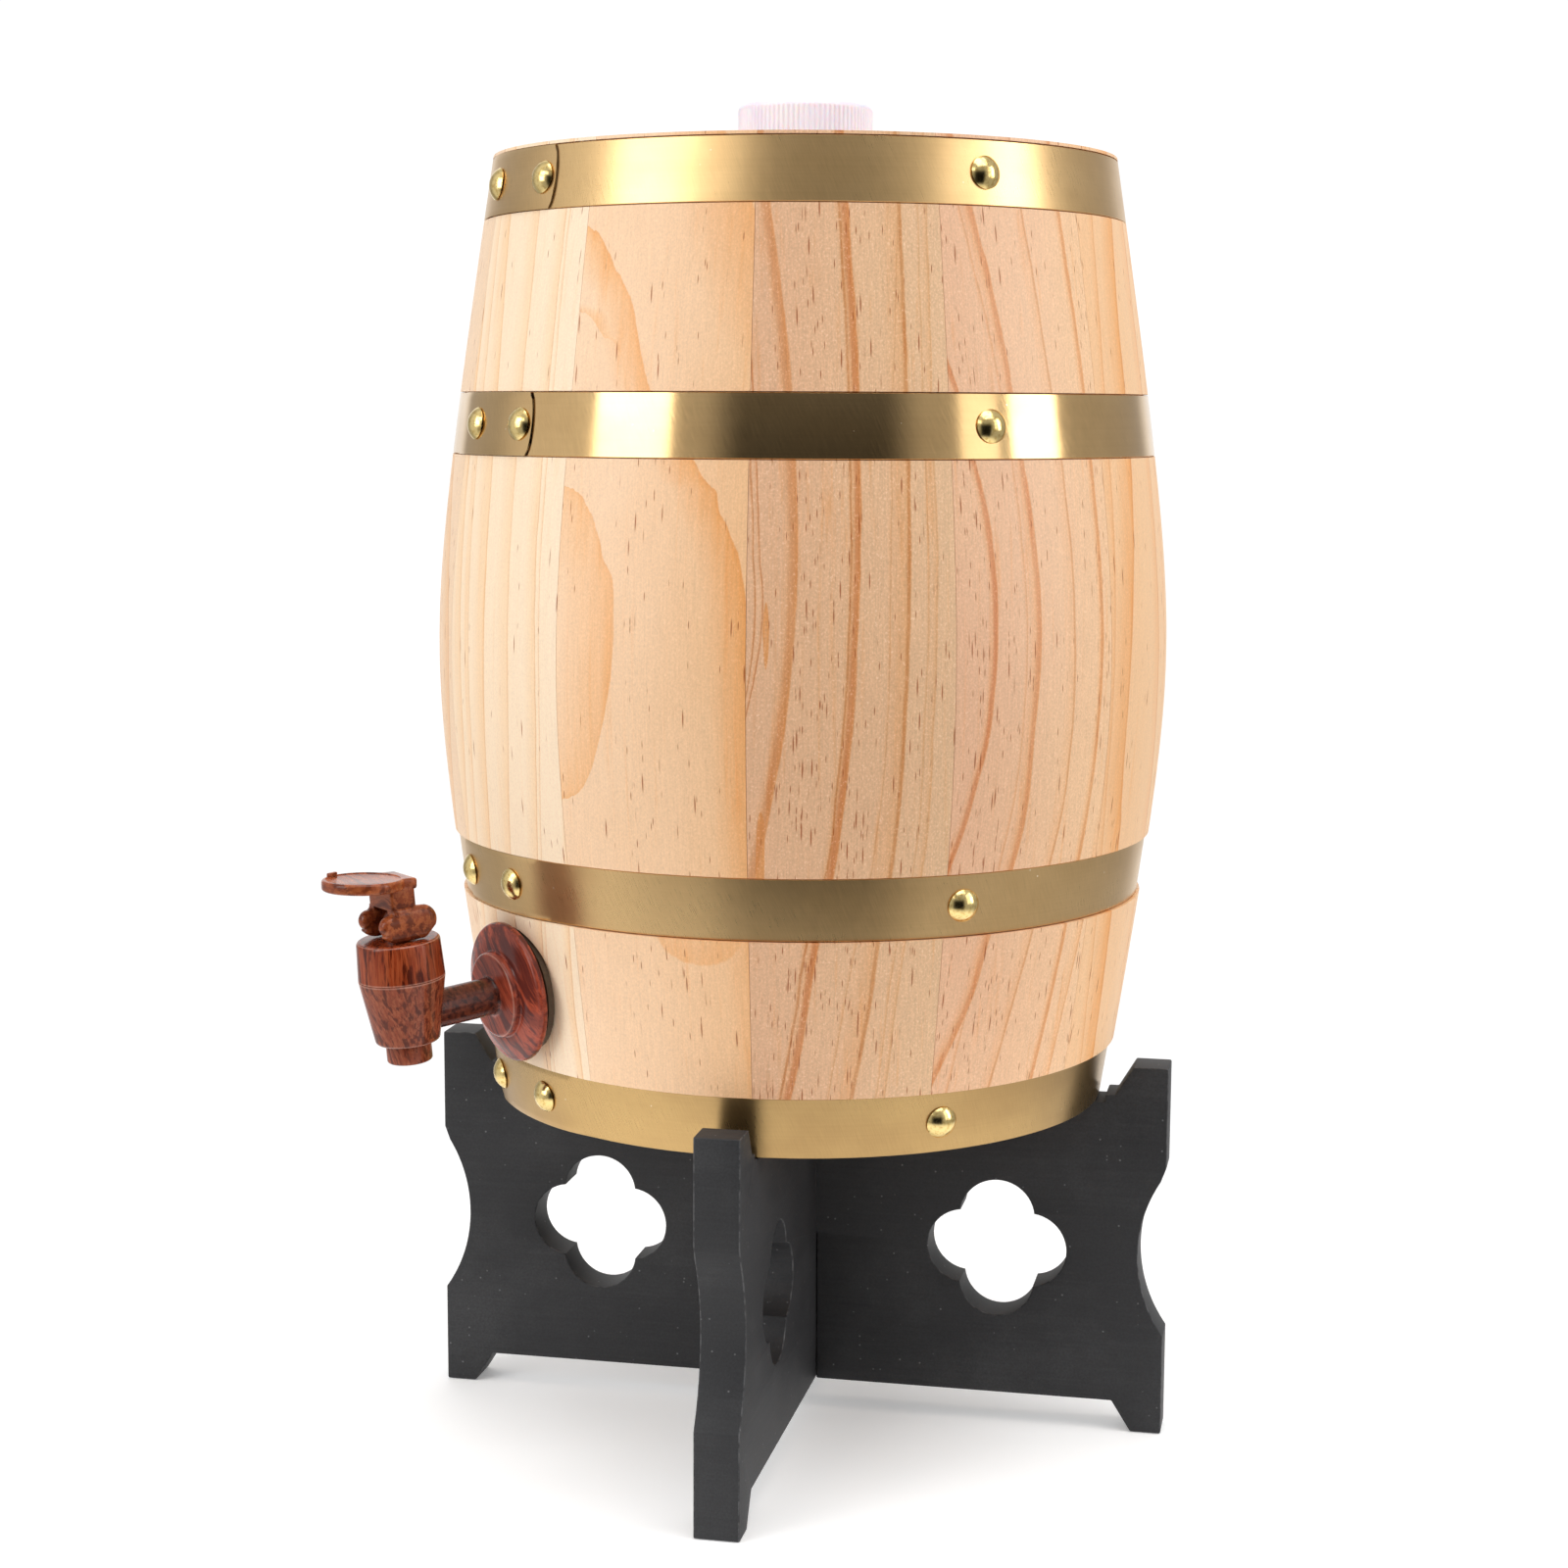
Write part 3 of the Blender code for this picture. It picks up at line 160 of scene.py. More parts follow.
ON_AXIS = Matrix.Translation((0.0, AXIS_Y, 0.0))
BARREL_AXIS = Matrix.Translation((0.0, AXIS_Y, BARREL_FOOT))
TAP_AXIS = (
    Matrix.Translation((0.0, AXIS_Y - TAP_FROM_AXIS, BARREL_FOOT + TAP_HEIGHT))
    @ Matrix.Rotation(TAP_TILT, 4, "X")
)
BODY_AXIS = TAP_AXIS @ Matrix.Translation((0.0, -BODY_REACH, 0.0))
LEVER_PIVOT = BODY_AXIS @ raised(PIVOT_HEIGHT)
ALONG_SHANK = TAP_AXIS @ Matrix.Rotation(pi / 2, 4, "X")
SIDE_PLANE = LEVER_PIVOT @ standing(-pi / 2)
LEVEL_PLANE = LEVER_PIVOT @ Matrix.Rotation(-pi / 2, 4, "Z")


# Node trees written as expressions


class Value:
    """A number that varies over a surface or a mesh, held as the socket that gives it."""

    def __init__(self, tree: "Tree", socket: Socket) -> None:
        """Wraps a socket of a tree."""
        self.tree = tree
        self.socket = socket

    def maths(self, operation: str, *others: "Number") -> "Value":
        """Adds one Math node that starts from this value."""
        return self.tree.maths(operation, self, *others)

    def __add__(self, other: "Number") -> "Value":
        """self + other."""
        return self.maths("ADD", other)

    def __radd__(self, other: "Number") -> "Value":
        """other + self."""
        return self.maths("ADD", other)

    def __sub__(self, other: "Number") -> "Value":
        """self - other."""
        return self.maths("SUBTRACT", other)

    def __rsub__(self, other: "Number") -> "Value":
        """other - self."""
        return self.tree.maths("SUBTRACT", other, self)

    def __mul__(self, other: "Number") -> "Value":
        """self * other."""
        return self.maths("MULTIPLY", other)

    def __rmul__(self, other: "Number") -> "Value":
        """other * self."""
        return self.maths("MULTIPLY", other)

    def __truediv__(self, other: "Number") -> "Value":
        """self / other."""
        return self.maths("DIVIDE", other)

    def __rtruediv__(self, other: "Number") -> "Value":
        """other / self."""
        return self.tree.maths("DIVIDE", other, self)

    def __pow__(self, other: "Number") -> "Value":
        """self ** other."""
        return self.maths("POWER", other)

    def __rpow__(self, other: "Number") -> "Value":
        """other ** self."""
        return self.tree.maths("POWER", other, self)

    def above(self, limit: "Number") -> "Value":
        """1 where this is more than a limit, 0 elsewhere."""
        return self.maths("GREATER_THAN", limit)

    def size(self) -> "Value":
        """The value without its sign."""
        return self.maths("ABSOLUTE")

    def root(self) -> "Value":
        """The square root."""
        return self.maths("SQRT")

    def sine(self) -> "Value":
        """The sine of an angle in radians."""
        return self.maths("SINE")

    def cosine(self) -> "Value":
        """The cosine of an angle in radians."""
        return self.maths("COSINE")

    def least(self, other: "Number") -> "Value":
        """The smaller of two values."""
        return self.maths("MINIMUM", other)

    def most(self, other: "Number") -> "Value":
        """The larger of two values."""
        return self.maths("MAXIMUM", other)

    def held(self) -> "Value":
        """The value held between 0 and 1."""
        return self.most(0.0).least(1.0)

    def swing(self, size: "Number") -> "Value":
        """How far the value is above 0.5, times a size."""
        return (self - 0.5) * size

    def fade(self, low: float, high: float) -> "Value":
        """A smooth step over the value.

        Args:
            low: Where it is 0.
            high: Where it is 1.

        Returns:
            The step, from 0 to 1.
        """
        inputs = {"Value": self, "From Min": low, "From Max": high}
        node = self.tree.add("ShaderNodeMapRange", {"interpolation_type": "SMOOTHSTEP"}, inputs)
        return Value(self.tree, node.outputs["Result"])


Number = Union[float, Value]
Input = Union[float, tuple, Value, Socket, Material, bpy.types.Object]
Parts = tuple[Value, Value, Value]


class Tree:
    """A node tree that is written from Python, for a shader or for geometry."""

    def __init__(self, tree: bpy.types.NodeTree) -> None:
        """Wraps a node tree."""
        self.tree = tree

    def add(
        self, kind: str, settings: dict | None = None, inputs: dict | None = None
    ) -> bpy.types.Node:
        """Adds a node.

        Args:
            kind: The node's type.
            settings: Its properties, which are set first, with a curve's points under "points".
            inputs: Values or links of its sockets, by name or number.

        Returns:
            The node.
        """
        node = self.tree.nodes.new(kind)
        for key, value in (settings or {}).items():
            if key == "points":
                self._set_points(node.mapping, value)
            else:
                setattr(node, key, value)
        for key, value in (inputs or {}).items():
            self.feed(node.inputs[key], value)
        return node

    def _set_points(self, mapping: bpy.types.CurveMapping, points: Profile) -> None:
        """Lays a curve through points.

        Args:
            mapping: The curve's node mapping.
            points: The points from left to right, each from 0 to 1.
        """
        curve = mapping.curves[0]
        while len(curve.points) < len(points):
            curve.points.new(0.5, 0.5)
        for point, place in zip(curve.points, points):
            point.location = place
        mapping.update()

    def feed(self, socket: Socket, value: Input) -> None:
        """Links a value to a socket, or sets the socket to it.

        Args:
            socket: The socket.
            value: The value, or what gives it.
        """
        if isinstance(value, Value):
            self.tree.links.new(value.socket, socket)
        elif isinstance(value, Socket):
            self.tree.links.new(value, socket)
        elif isinstance(value, tuple) and socket.type == "RGBA" and len(value) == 3:
            socket.default_value = (*value, 1.0)
        else:
            socket.default_value = value

    def maths(self, operation: str, *values: Number) -> Value:
        """Adds a Math node on one to three values."""
        node = self.add("ShaderNodeMath", {"operation": operation}, dict(enumerate(values)))
        return Value(self, node.outputs[0])

    def split(self, vector: Socket) -> Parts:
        """The three parts of a vector."""
        node = self.add("ShaderNodeSeparateXYZ", {}, {0: vector})
        return tuple(Value(self, socket) for socket in node.outputs)

    def join(self, across: Number, along: Number, up: Number) -> Socket:
        """A vector from three values."""
        return self.add("ShaderNodeCombineXYZ", {}, {0: across, 1: along, 2: up}).outputs[0]


class Surface(Tree):
    """The node tree of a material, with its Principled shader."""

    def __init__(self, name: str, **constants: Input) -> None:
        """Starts a material.

        Args:
            name: Its name.
            constants: Values of the shader's sockets, named with underscores.
        """
        self.material = bpy.data.materials.new(name)
        self.material.use_nodes = True
        super().__init__(self.material.node_tree)
        self.shader = self.tree.nodes["Principled BSDF"]
        for key, value in constants.items():
            self.feed(self.shader.inputs[key.replace("_", " ")], value)

    def worn(self) -> Value:
        """1 on the marked edges of the mesh, 0 elsewhere: worn paint on the stand, worn print with
        a painted highlight on the tap.
        """
        node = self.add("ShaderNodeAttribute", {"attribute_name": WEAR_AND_HIGHLIGHT_EDGE})
        return Value(self, node.outputs["Fac"])

    def give(self, name: str, value: Input) -> None:
        """Feeds one of the shader's sockets."""
        self.feed(self.shader.inputs[name], value)

    def place(self, origin: Place = (0.0, 0.0, 0.0), turn: Place = (0.0, 0.0, 0.0)) -> Socket:
        """Object coordinates seen from a frame.

        Args:
            origin: Where the frame stands.
            turn: Its rotation about X, Y and Z.

        Returns:
            The vector in the frame.
        """
        source = self.add("ShaderNodeTexCoord").outputs["Object"]
        inputs = {"Vector": source, "Location": origin, "Rotation": turn}
        return self.add("ShaderNodeMapping", {"vector_type": "TEXTURE"}, inputs).outputs["Vector"]

    def noise(self, vector: Socket, scale: float, detail: float = 2.0, rough: float = 0.5) -> Value:
        """Cloudy noise about 0.5, its detail the finer layers, and rough their strength."""
        inputs = {"Vector": vector, "Scale": scale, "Detail": detail, "Roughness": rough}
        return Value(self, self.add("ShaderNodeTexNoise", {}, inputs).outputs[0])

    def stretched(
        self, across: Number, along: Number, up: Number, detail: float = 2.0, rough: float = 0.5
    ) -> Value:
        """Noise that is read at three values, each with its own scale in it."""
        return self.noise(self.join(across, along, up), 1.0, detail, rough)

    def cells(self, vector: Socket, scale: float = 1.0) -> tuple[Value, Value]:
        """Distance from the nearest of many scattered spots, and a random number for each."""
        node = self.add("ShaderNodeTexVoronoi", {}, {"Vector": vector, "Scale": scale})
        return Value(self, node.outputs["Distance"]), self.split(node.outputs["Color"])[0]

    def curve(self, value: Value, points: Profile) -> Value:
        """A value that follows a curve through points, both running from 0 to 1."""
        node = self.add("ShaderNodeFloatCurve", {"points": points}, {"Value": value})
        return Value(self, node.outputs[0])

    def mix(self, share: Number, first: Input, second: Input, way: str = "MIX") -> Socket:
        """Mixes two colours; share says how much of the second there is."""
        settings = {"data_type": "RGBA", "blend_type": way, "clamp_factor": True}
        return self.add("ShaderNodeMix", settings, {0: share, 6: first, 7: second}).outputs[2]

    def shaded(self, colour: Input, brightness: Value) -> Socket:
        """A colour multiplied by a brightness."""
        scale = {"operation": "SCALE"}
        return self.add("ShaderNodeVectorMath", scale, {0: colour, "Scale": brightness}).outputs[0]

    def relief(self, height: Value, depth: float, strength: float = 1.0) -> None:
        """Gives the shader a bump whose height runs from 0 to 1 over a depth."""
        inputs = {"Height": height, "Distance": depth, "Strength": strength}
        self.give("Normal", self.add("ShaderNodeBump", {}, inputs).outputs["Normal"])


class ShapeTree(Tree):
    """A Geometry Nodes tree with named inputs for its sizes."""

    def __init__(self, name: str) -> None:
        """Starts a tree that takes a mesh and a finish and gives a mesh.

        Args:
            name: Its name.
        """
        super().__init__(bpy.data.node_groups.new(name, "GeometryNodeTree"))
        face = self.tree.interface
        face.new_socket("Geometry", in_out="INPUT", socket_type="NodeSocketGeometry")
        face.new_socket("Geometry", in_out="OUTPUT", socket_type="NodeSocketGeometry")
        self.entry = self.add("NodeGroupInput")
        self.identifiers: dict[str, str] = {}
        self.finish_socket = self._input("Finish", "NodeSocketMaterial")
        self.mesh = self.entry.outputs["Geometry"]

    def _input(self, name: str, kind: str) -> Socket:
        """Adds a named input.

        Args:
            name: Its name.
            kind: Its socket's type.

        Returns:
            Its socket inside the tree.
        """
        made = self.tree.interface.new_socket(name, in_out="INPUT", socket_type=kind)
        self.identifiers[name] = made.identifier
        return self.entry.outputs[name]

    def number(self, name: str) -> Value:
        """A named number."""
        return Value(self, self._input(name, "NodeSocketFloat"))

    def whole(self, name: str) -> Value:
        """A named whole number."""
        return Value(self, self._input(name, "NodeSocketInt"))

    def thing(self, name: str) -> Socket:
        """A named object."""
        return self._input(name, "NodeSocketObject")

    def position(self) -> Parts:
        """Where each point is."""
        return self.split(self.add("GeometryNodeInputPosition").outputs[0])

    def moved(self, geometry: Socket, place: Socket) -> Socket:
        """Puts each point of a mesh at a place."""
        inputs = {"Geometry": geometry, "Position": place}
        return self.add("GeometryNodeSetPosition", {}, inputs).outputs["Geometry"]

    def end(self, geometry: Socket) -> None:
        """Closes the tree: instances become real, and the finish is put on.

        Args:
            geometry: What the tree has made.
        """
        real = self.add("GeometryNodeRealizeInstances", {}, {0: geometry}).outputs[0]
        inputs = {"Geometry": real, "Material": self.finish_socket}
        dressed = self.add("GeometryNodeSetMaterial", {}, inputs).outputs[0]
        self.add("NodeGroupOutput", {}, {0: dressed})

    def run(self, name: str, blank: Mesh, finish: Material, sizes: dict) -> Mesh:
        """Shapes a blank.

        Args:
            name: The new mesh's name.
            blank: What goes in.
            finish: The material that the tree puts on.
            sizes: The tree's inputs by their names.

        Returns:
            The shaped mesh.
        """
        holder = linked(name, blank)
        modifier = holder.modifiers.new(name, "NODES")
        modifier.node_group = self.tree
        for key, value in {"Finish": finish, **sizes}.items():
            modifier[self.identifiers[key]] = value
        return taken(holder)


# Meshes


def linked(name: str, data: bpy.types.ID) -> bpy.types.Object:
    """Puts a mesh, a curve, a lamp or a camera in the scene.

    Args:
        name: The new object's name.
        data: What it holds.

    Returns:
        The object.
    """
    made = bpy.data.objects.new(name, data)
    bpy.context.scene.collection.objects.link(made)
    return made


def taken(holder: bpy.types.Object) -> Mesh:
    """Takes the mesh that an object's modifiers give, and removes the object.

    Args:
        holder: The object.

    Returns:
        The mesh.
    """
    bpy.context.view_layer.update()
    depsgraph = bpy.context.evaluated_depsgraph_get()
    mesh = bpy.data.meshes.new_from_object(holder.evaluated_get(depsgraph), depsgraph=depsgraph)
    mesh.name = holder.name
    bpy.data.objects.remove(holder, do_unlink=True)
    return mesh


def meshed(name: str, points: list[Place], faces: list[list[int]]) -> Mesh:
    """Makes a mesh of points and faces.

    Args:
        name: The mesh's name.
        points: Its vertices.
        faces: The numbers of each face's vertices.

    Returns:
        The mesh.
    """
    mesh = bpy.data.meshes.new(name)
    mesh.from_pydata(points, [], faces)
    return mesh


def smoothed(mesh: Mesh) -> Mesh:
    """Welds a mesh, points its faces outwards and shades it smooth between its edges.

    Args:
        mesh: The mesh.

    Returns:
        The same mesh.
    """
    shape = bmesh.new()
    shape.from_mesh(mesh)
    bmesh.ops.remove_doubles(shape, verts=shape.verts, dist=WELD)
    bmesh.ops.recalc_face_normals(shape, faces=shape.faces)
    shape.to_mesh(mesh)
    shape.free()
    mesh.shade_smooth()
    mesh.set_sharp_from_angle(angle=SHARP_ANGLE)
    return mesh


def settled(mesh: Mesh, place: Matrix) -> Mesh:
    """Moves a mesh to its place and smooths it."""
    mesh.transform(place)
    return smoothed(mesh)


def turned(name: str, profile: Profile, steps: int, place: Matrix) -> Mesh:
    """A turned piece.

    Args:
        name: The mesh's name.
        profile: (radius, height) points; a ring where neither end is on the axis.
        steps: Number of faces round it.
        place: Where its axis stands.

    Returns:
        The closed mesh.
    """
    verts: list[Place] = []
    rings: list[list[int]] = []
    for radius, height in profile:
        count = steps if radius > 0.0 else 1
        rings.append(list(range(len(verts), len(verts) + count)))
        for i in range(count):
            angle = 2 * pi * i / steps
            verts.append((radius * cos(angle), radius * sin(angle), height))
    pairs = list(zip(rings, rings[1:]))
    if profile[0][0] > 0.0 and profile[-1][0] > 0.0:
        pairs.append((rings[-1], rings[0]))
    faces = []
    for upper, lower in pairs:
        for i in range(steps):
            j = (i + 1) % steps
            corners = [
                upper[i % len(upper)], upper[j % len(upper)], lower[j % len(lower)],
                lower[i % len(lower)],
            ]
            unique = list(dict.fromkeys(corners))
            if len(unique) > 2:
                faces.append(unique)
    return settled(meshed(name, verts, faces), place)


def extruded(name: str, sections: list[list[Place]]) -> Mesh:
    """Makes a bar through sections of equal point counts, its two ends capped.

    Args:
        name: The mesh's name.
        sections: The points of each section.

    Returns:
        The closed mesh.
    """
    count = len(sections[0])
    verts = [point for section in sections for point in section]
    faces = [list(range(count)), [len(verts) - 1 - i for i in range(count)]]
    for row in range(len(sections) - 1):
        base = row * count
        for i in range(count):
            j = (i + 1) % count
            faces.append([base + i, base + j, base + count + j, base + count + i])
    return meshed(name, verts, faces)


def lay(curve: bpy.types.Curve, points: list[Place], closed: bool) -> None:
    """Adds a line through points to a curve.

    Args:
        curve: The curve.
        points: The points, in order.
        closed: Whether the last one is joined to the first.
    """
    spline = curve.splines.new("POLY")
    spline.points.add(len(points) - 1)
    for point, place in zip(spline.points, points):
        point.co = (*place, 1.0)
    spline.use_cyclic_u = closed


def plate(name: str, outlines: list[Profile], thickness: float, edge: float, place: Matrix) -> Mesh:
    """A flat plate with rounded edges.

    Args:
        name: The mesh's name.
        outlines: The outer outline and those of its openings.
        thickness: The plate's thickness, about its own plane.
        edge: Radius of the rounding.
        place: Where its plane lies.

    Returns:
        The closed mesh.
    """
    curve = bpy.data.curves.new(name, "CURVE")
    curve.dimensions = "2D"
    curve.fill_mode = "BOTH"
    curve.extrude = thickness / 2 - edge
    curve.bevel_depth = edge
    curve.bevel_resolution = 3
    curve.offset = -edge
    for outline in outlines:
        lay(curve, [(*point, 0.0) for point in outline], True)
    return settled(taken(linked(name, curve)), place)


def eased(outline: Profile, radius: float, steps: int = 3) -> Profile:
    """Replaces an outline's sharp corners by small arcs.

    Args:
        outline: The outline.
        radius: About the radius of the arcs.
        steps: Number of pieces in each.

    Returns:
        The new outline.
    """
    made: Profile = []
    count = len(outline)
    for i, corner in enumerate(outline):
        before = Vector(outline[i - 1]) - Vector(corner)
        after = Vector(outline[(i + 1) % count]) - Vector(corner)
        turn = pi - before.angle(after)
        if turn < LEAST_CORNER:
            made.append(corner)
            continue
        room = min(before.length / 2.2, after.length / 2.2)
        cut = min(radius * sin(turn / 2) / cos(turn / 2), room)
        first = Vector(corner) + before.normalized() * cut
        last = Vector(corner) + after.normalized() * cut
        for step in range(steps + 1):
            share = step / steps
            inner = first.lerp(Vector(corner), share)
            outer = Vector(corner).lerp(last, share)
            made.append(tuple(inner.lerp(outer, share)))
    return made


def carved(mesh: Mesh, tool: Mesh, operation: str = "DIFFERENCE") -> Mesh:
    """Cuts a mesh with another, or joins them.

    Args:
        mesh: The piece.
        tool: What it is cut with.
        operation: DIFFERENCE, UNION or INTERSECT.

    Returns:
        The new mesh.
    """
    piece, cutter = linked(mesh.name, mesh), linked(tool.name, tool)
    modifier = piece.modifiers.new("carve", "BOOLEAN")
    modifier.object = cutter
    modifier.operation = operation
    modifier.solver = "EXACT"
    made = taken(piece)
    bpy.data.objects.remove(cutter, do_unlink=True)
    return smoothed(made)


def joined(name: str, meshes: list[Mesh]) -> Mesh:
    """Puts several closed meshes in one.

    Args:
        name: The new mesh's name.
        meshes: The meshes.

    Returns:
        The mesh of them all.
    """
    shape = bmesh.new()
    for mesh in meshes:
        shape.from_mesh(mesh)
    made = bpy.data.meshes.new(name)
    shape.to_mesh(made)
    shape.free()
    made.shade_smooth()
    made.set_sharp_from_angle(angle=SHARP_ANGLE)
    return made


def wear_and_highlight_at(mesh: Mesh, axis: Matrix, rings: Profile) -> Mesh:
    """Marks the round edges of a turned piece where its print is worn and a highlight is painted.

    Args:
        mesh: The piece.
        axis: Where its axis stands.
        rings: (radius, height) of each edge.

    Returns:
        The same mesh, with a mark of 1 on those edges and 0 elsewhere.
    """
    marks = mesh.attributes.get(WEAR_AND_HIGHLIGHT_EDGE) or mesh.attributes.new(WEAR_AND_HIGHLIGHT_EDGE, "FLOAT", "POINT")
    back = axis.inverted()
    for vertex in mesh.vertices:
        local = back @ vertex.co
        radius = hypot(local.x, local.y)
        if any(hypot(radius - r, local.z - h) < ON_EDGE for r, h in rings):
            marks.data[vertex.index].value = 1.0
    return mesh


def put(
    name: str, mesh: Mesh, finishes: list[Material], body: str, nodes: list[str]
) -> bpy.types.Object:
    """Puts a finished piece in the scene.

    Args:
        name: The piece's name.
        mesh: Its mesh, already in place.
        finishes: The materials of its slots.
        body: The body that it moves with.
        nodes: The nodes that it stands for.

    Returns:
        The piece.
    """
    mesh.materials.clear()
    for finish in finishes:
        mesh.materials.append(finish)
    piece = linked(name, mesh)
    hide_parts(*nodes)
    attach(piece, body)
    LOG.info("%s: %d faces, on %s", name, len(mesh.polygons), body)
    return piece


def dress(node: str, finish: Material) -> None:
    """Gives a finish to a node that is shown as it is.

    Args:
        node: The node's name.
        finish: The material.
    """
    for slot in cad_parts[node].material_slots:
        slot.material = finish
    LOG.info("%s keeps its shape, finish %s", node, finish.name)


# Finishes


@dataclass(frozen=True)
class Ring:
    """Where one year's growth ends on a board: the wood darkens up to it and is pale past it.

    path holds (height, place across) points in millimetres from the board's middle, from the top
    down. reach is how far the darkening goes back, to the left, or to the right where it is
    negative, and deep how strong it is. line is how dark the ring's last edge is, width how wide
    that is and red how red it is, rather than olive.
    """

    path: tuple[Point, ...]
    reach: float = 6.0
    deep: float = 0.5
    line: float = 0.5
    width: float = 0.8
    red: float = 0.5

    REACH_ALONG = 340.0
    REACH_ACROSS = 250.0

    def points(self) -> Profile:
        """Runs the path on to both ends of the board.

        Returns:
            The path from the bottom up, as points from 0 to 1.
        """
        rising = sorted(self.path)
        (low, first), (second_low, second) = rising[0], rising[1]
        (second_high, before), (high, last) = rising[-2], rising[-1]
        start, end = -self.REACH_ALONG / 2, self.REACH_ALONG / 2
        foot = first + (second - first) / (second_low - low) * (start - low)
        head = last + (last - before) / (high - second_high) * (end - high)
        whole = [(start, foot), *rising, (end, head)]
        return [
            (along / self.REACH_ALONG + 0.5, min(max(across / self.REACH_ACROSS + 0.5, 0.0), 1.0))
            for along, across in whole
        ]


@dataclass(frozen=True)
class Tongue:
    """A closed patch of darker wood, where the face only grazes a year's growth.

    centre is (height, place across) and half its half height and half width, in millimetres.
    """

    centre: Point
    half: Point
    deep: float = 0.5


@dataclass(frozen=True)
class PineCut:
    """Satin pine, with the growth rings as they run over one board.

    left and right are the pale wood's tones at the board's two edges, rough how coarse it is and
    flecks how many resin flecks it has.
    """

    name: str = "pine"
    azimuth_deg: float = 0.0
    rings: tuple[Ring, ...] = ()
    tongues: tuple[Tongue, ...] = ()
    left: Colour = paint(250, 218, 184)
    right: Colour = paint(246, 208, 170)
    flecks: float = 0.5
    rough: float = 0.5
    level: bool = False
    half_width: float = 0.0327
    amber: Colour = paint(250, 220, 176)
    olive: Colour = paint(228, 207, 172)
    red: Colour = paint(231, 194, 166)
    fleck: Colour = paint(158, 76, 16)
    # raised is a painted glint: pale specks that stand in for light caught on the grain's fine
    # bumps
    raised: Colour = paint(255, 236, 214)

    LINE_SETBACK = 0.45
    LINE_HALF = 0.6
    LINE_CREST = 1.5
    FLECK_SIZES = ((1000.0, 80.0, 0.30), (1500.0, 170.0, 0.32))
    FLECK_STRENGTH = 0.88

    def frame(self, look: Surface) -> Parts:
        """Lays the board's own frame.

        Args:
            look: The material's tree.

        Returns:
            Depth, place across and place along the board, in metres.
        """
        if self.level:
            across, along, depth = look.split(look.place((0.0, AXIS_Y, 0.0)))
            return depth, across, along
        middle = (0.0, AXIS_Y, BARREL_FOOT + BILGE_HEIGHT)
        return look.split(look.place(middle, (0.0, 0.0, angle_of(self.azimuth_deg))))

    def ring_marks(
        self, look: Surface, ring: Ring, across: Value, along: Value
    ) -> tuple[Value, Value]:
        """How one ring darkens the wood.

        Args:
            look: The material's tree.
            ring: The ring.
            across: Place across the board, a little wavering, in millimetres.
            along: Place along the board, in millimetres.

        Returns:
            The darkening, and the line at its edge, each from 0 to 1.
        """
        place = look.curve(along / Ring.REACH_ALONG + 0.5, ring.points()) - 0.5
        side = 1.0 if ring.reach > 0.0 else -1.0
        behind = (place * Ring.REACH_ACROSS - across) * side
        inside = behind.fade(-0.2, 0.25)
        dark = (1.0 - behind / abs(ring.reach)).held() * inside
        setback, half = ring.width * self.LINE_SETBACK, ring.width * self.LINE_HALF
        near = (1.0 - ((behind - setback) / half).size()).most(0.0)
        line = (near * self.LINE_CREST).least(1.0)
        return dark * ring.deep, line * ring.line

    def material(self) -> Material:
        """Mixes the finish.

        Returns:
            The material.
        """
        look = Surface(self.name, IOR=1.45)
        depth, across, along = self.frame(look)
        shift = radians(self.azimuth_deg) * 3.0
        slow = look.stretched(across * 14.0 + shift, along * 9.0, depth * 8.0)
        ragged = look.stretched(across * 320.0, along * 60.0 + shift, depth * 90.0, 4.0, 0.6)
        place = across * MM + slow.swing(2.0) + ragged.swing(1.3)
        height = along * MM + ragged.swing(3.0)

        amber: Number = 0.0
        red: Number = 0.0
        olive: Number = 0.0
        for ring in self.rings:
            dark, line = self.ring_marks(look, ring, place, height)
            amber = dark.most(amber)
            red = (line * ring.red).most(red)
            olive = (line * (1.0 - ring.red)).most(olive)
        for tongue in self.tongues:
            rise = (height - tongue.centre[0]) / tongue.half[0]
            aside = (place - tongue.centre[1]) / tongue.half[1]
            spread = (rise * rise + aside * aside).root()
            patch = (1.0 - spread.fade(0.94, 1.03)) * (0.55 + spread * 0.45) * tongue.deep
            amber = patch.most(amber)

        cloud = look.stretched(across * 30.0, along * 11.0 + shift, depth * 20.0, 3.0)
        sideways = (across / (2.0 * self.half_width) + 0.5 + cloud.swing(0.8)).held()
        colour = look.mix(sideways, self.left, self.right)
        streak = look.stretched(across * 420.0, along * 5.0 + shift, depth * 200.0, 3.0, 0.6)
        fibre = look.stretched(across * 2200.0, along * 70.0 + shift, depth * 600.0)
        grain = look.noise(look.join(across, along * 0.7, depth), 1700.0, 2.0, 0.6)
        colour = look.mix(amber + streak.swing(amber) * 1.1, colour, self.amber, "MULTIPLY")
        colour = look.mix(
            streak.fade(0.55, 0.8) * (0.25 + self.rough * 0.35), colour, self.amber, "MULTIPLY"
        )
        colour = look.mix(red * (0.6 + streak * 0.8), colour, self.red, "MULTIPLY")
        colour = look.mix(olive * (0.6 + streak * 0.8), colour, self.olive, "MULTIPLY")
        speck = 0.12 + 0.17 * self.rough
        colour = look.shaded(colour, 1.0 + fibre.swing(speck) + grain.swing(speck) * 1.8)
        # Painted glint: pale specks on the grain's crests, more of them on rougher boards
        colour = look.mix(grain.fade(0.58, 0.76) * 0.32 * self.rough, colour, self.raised)

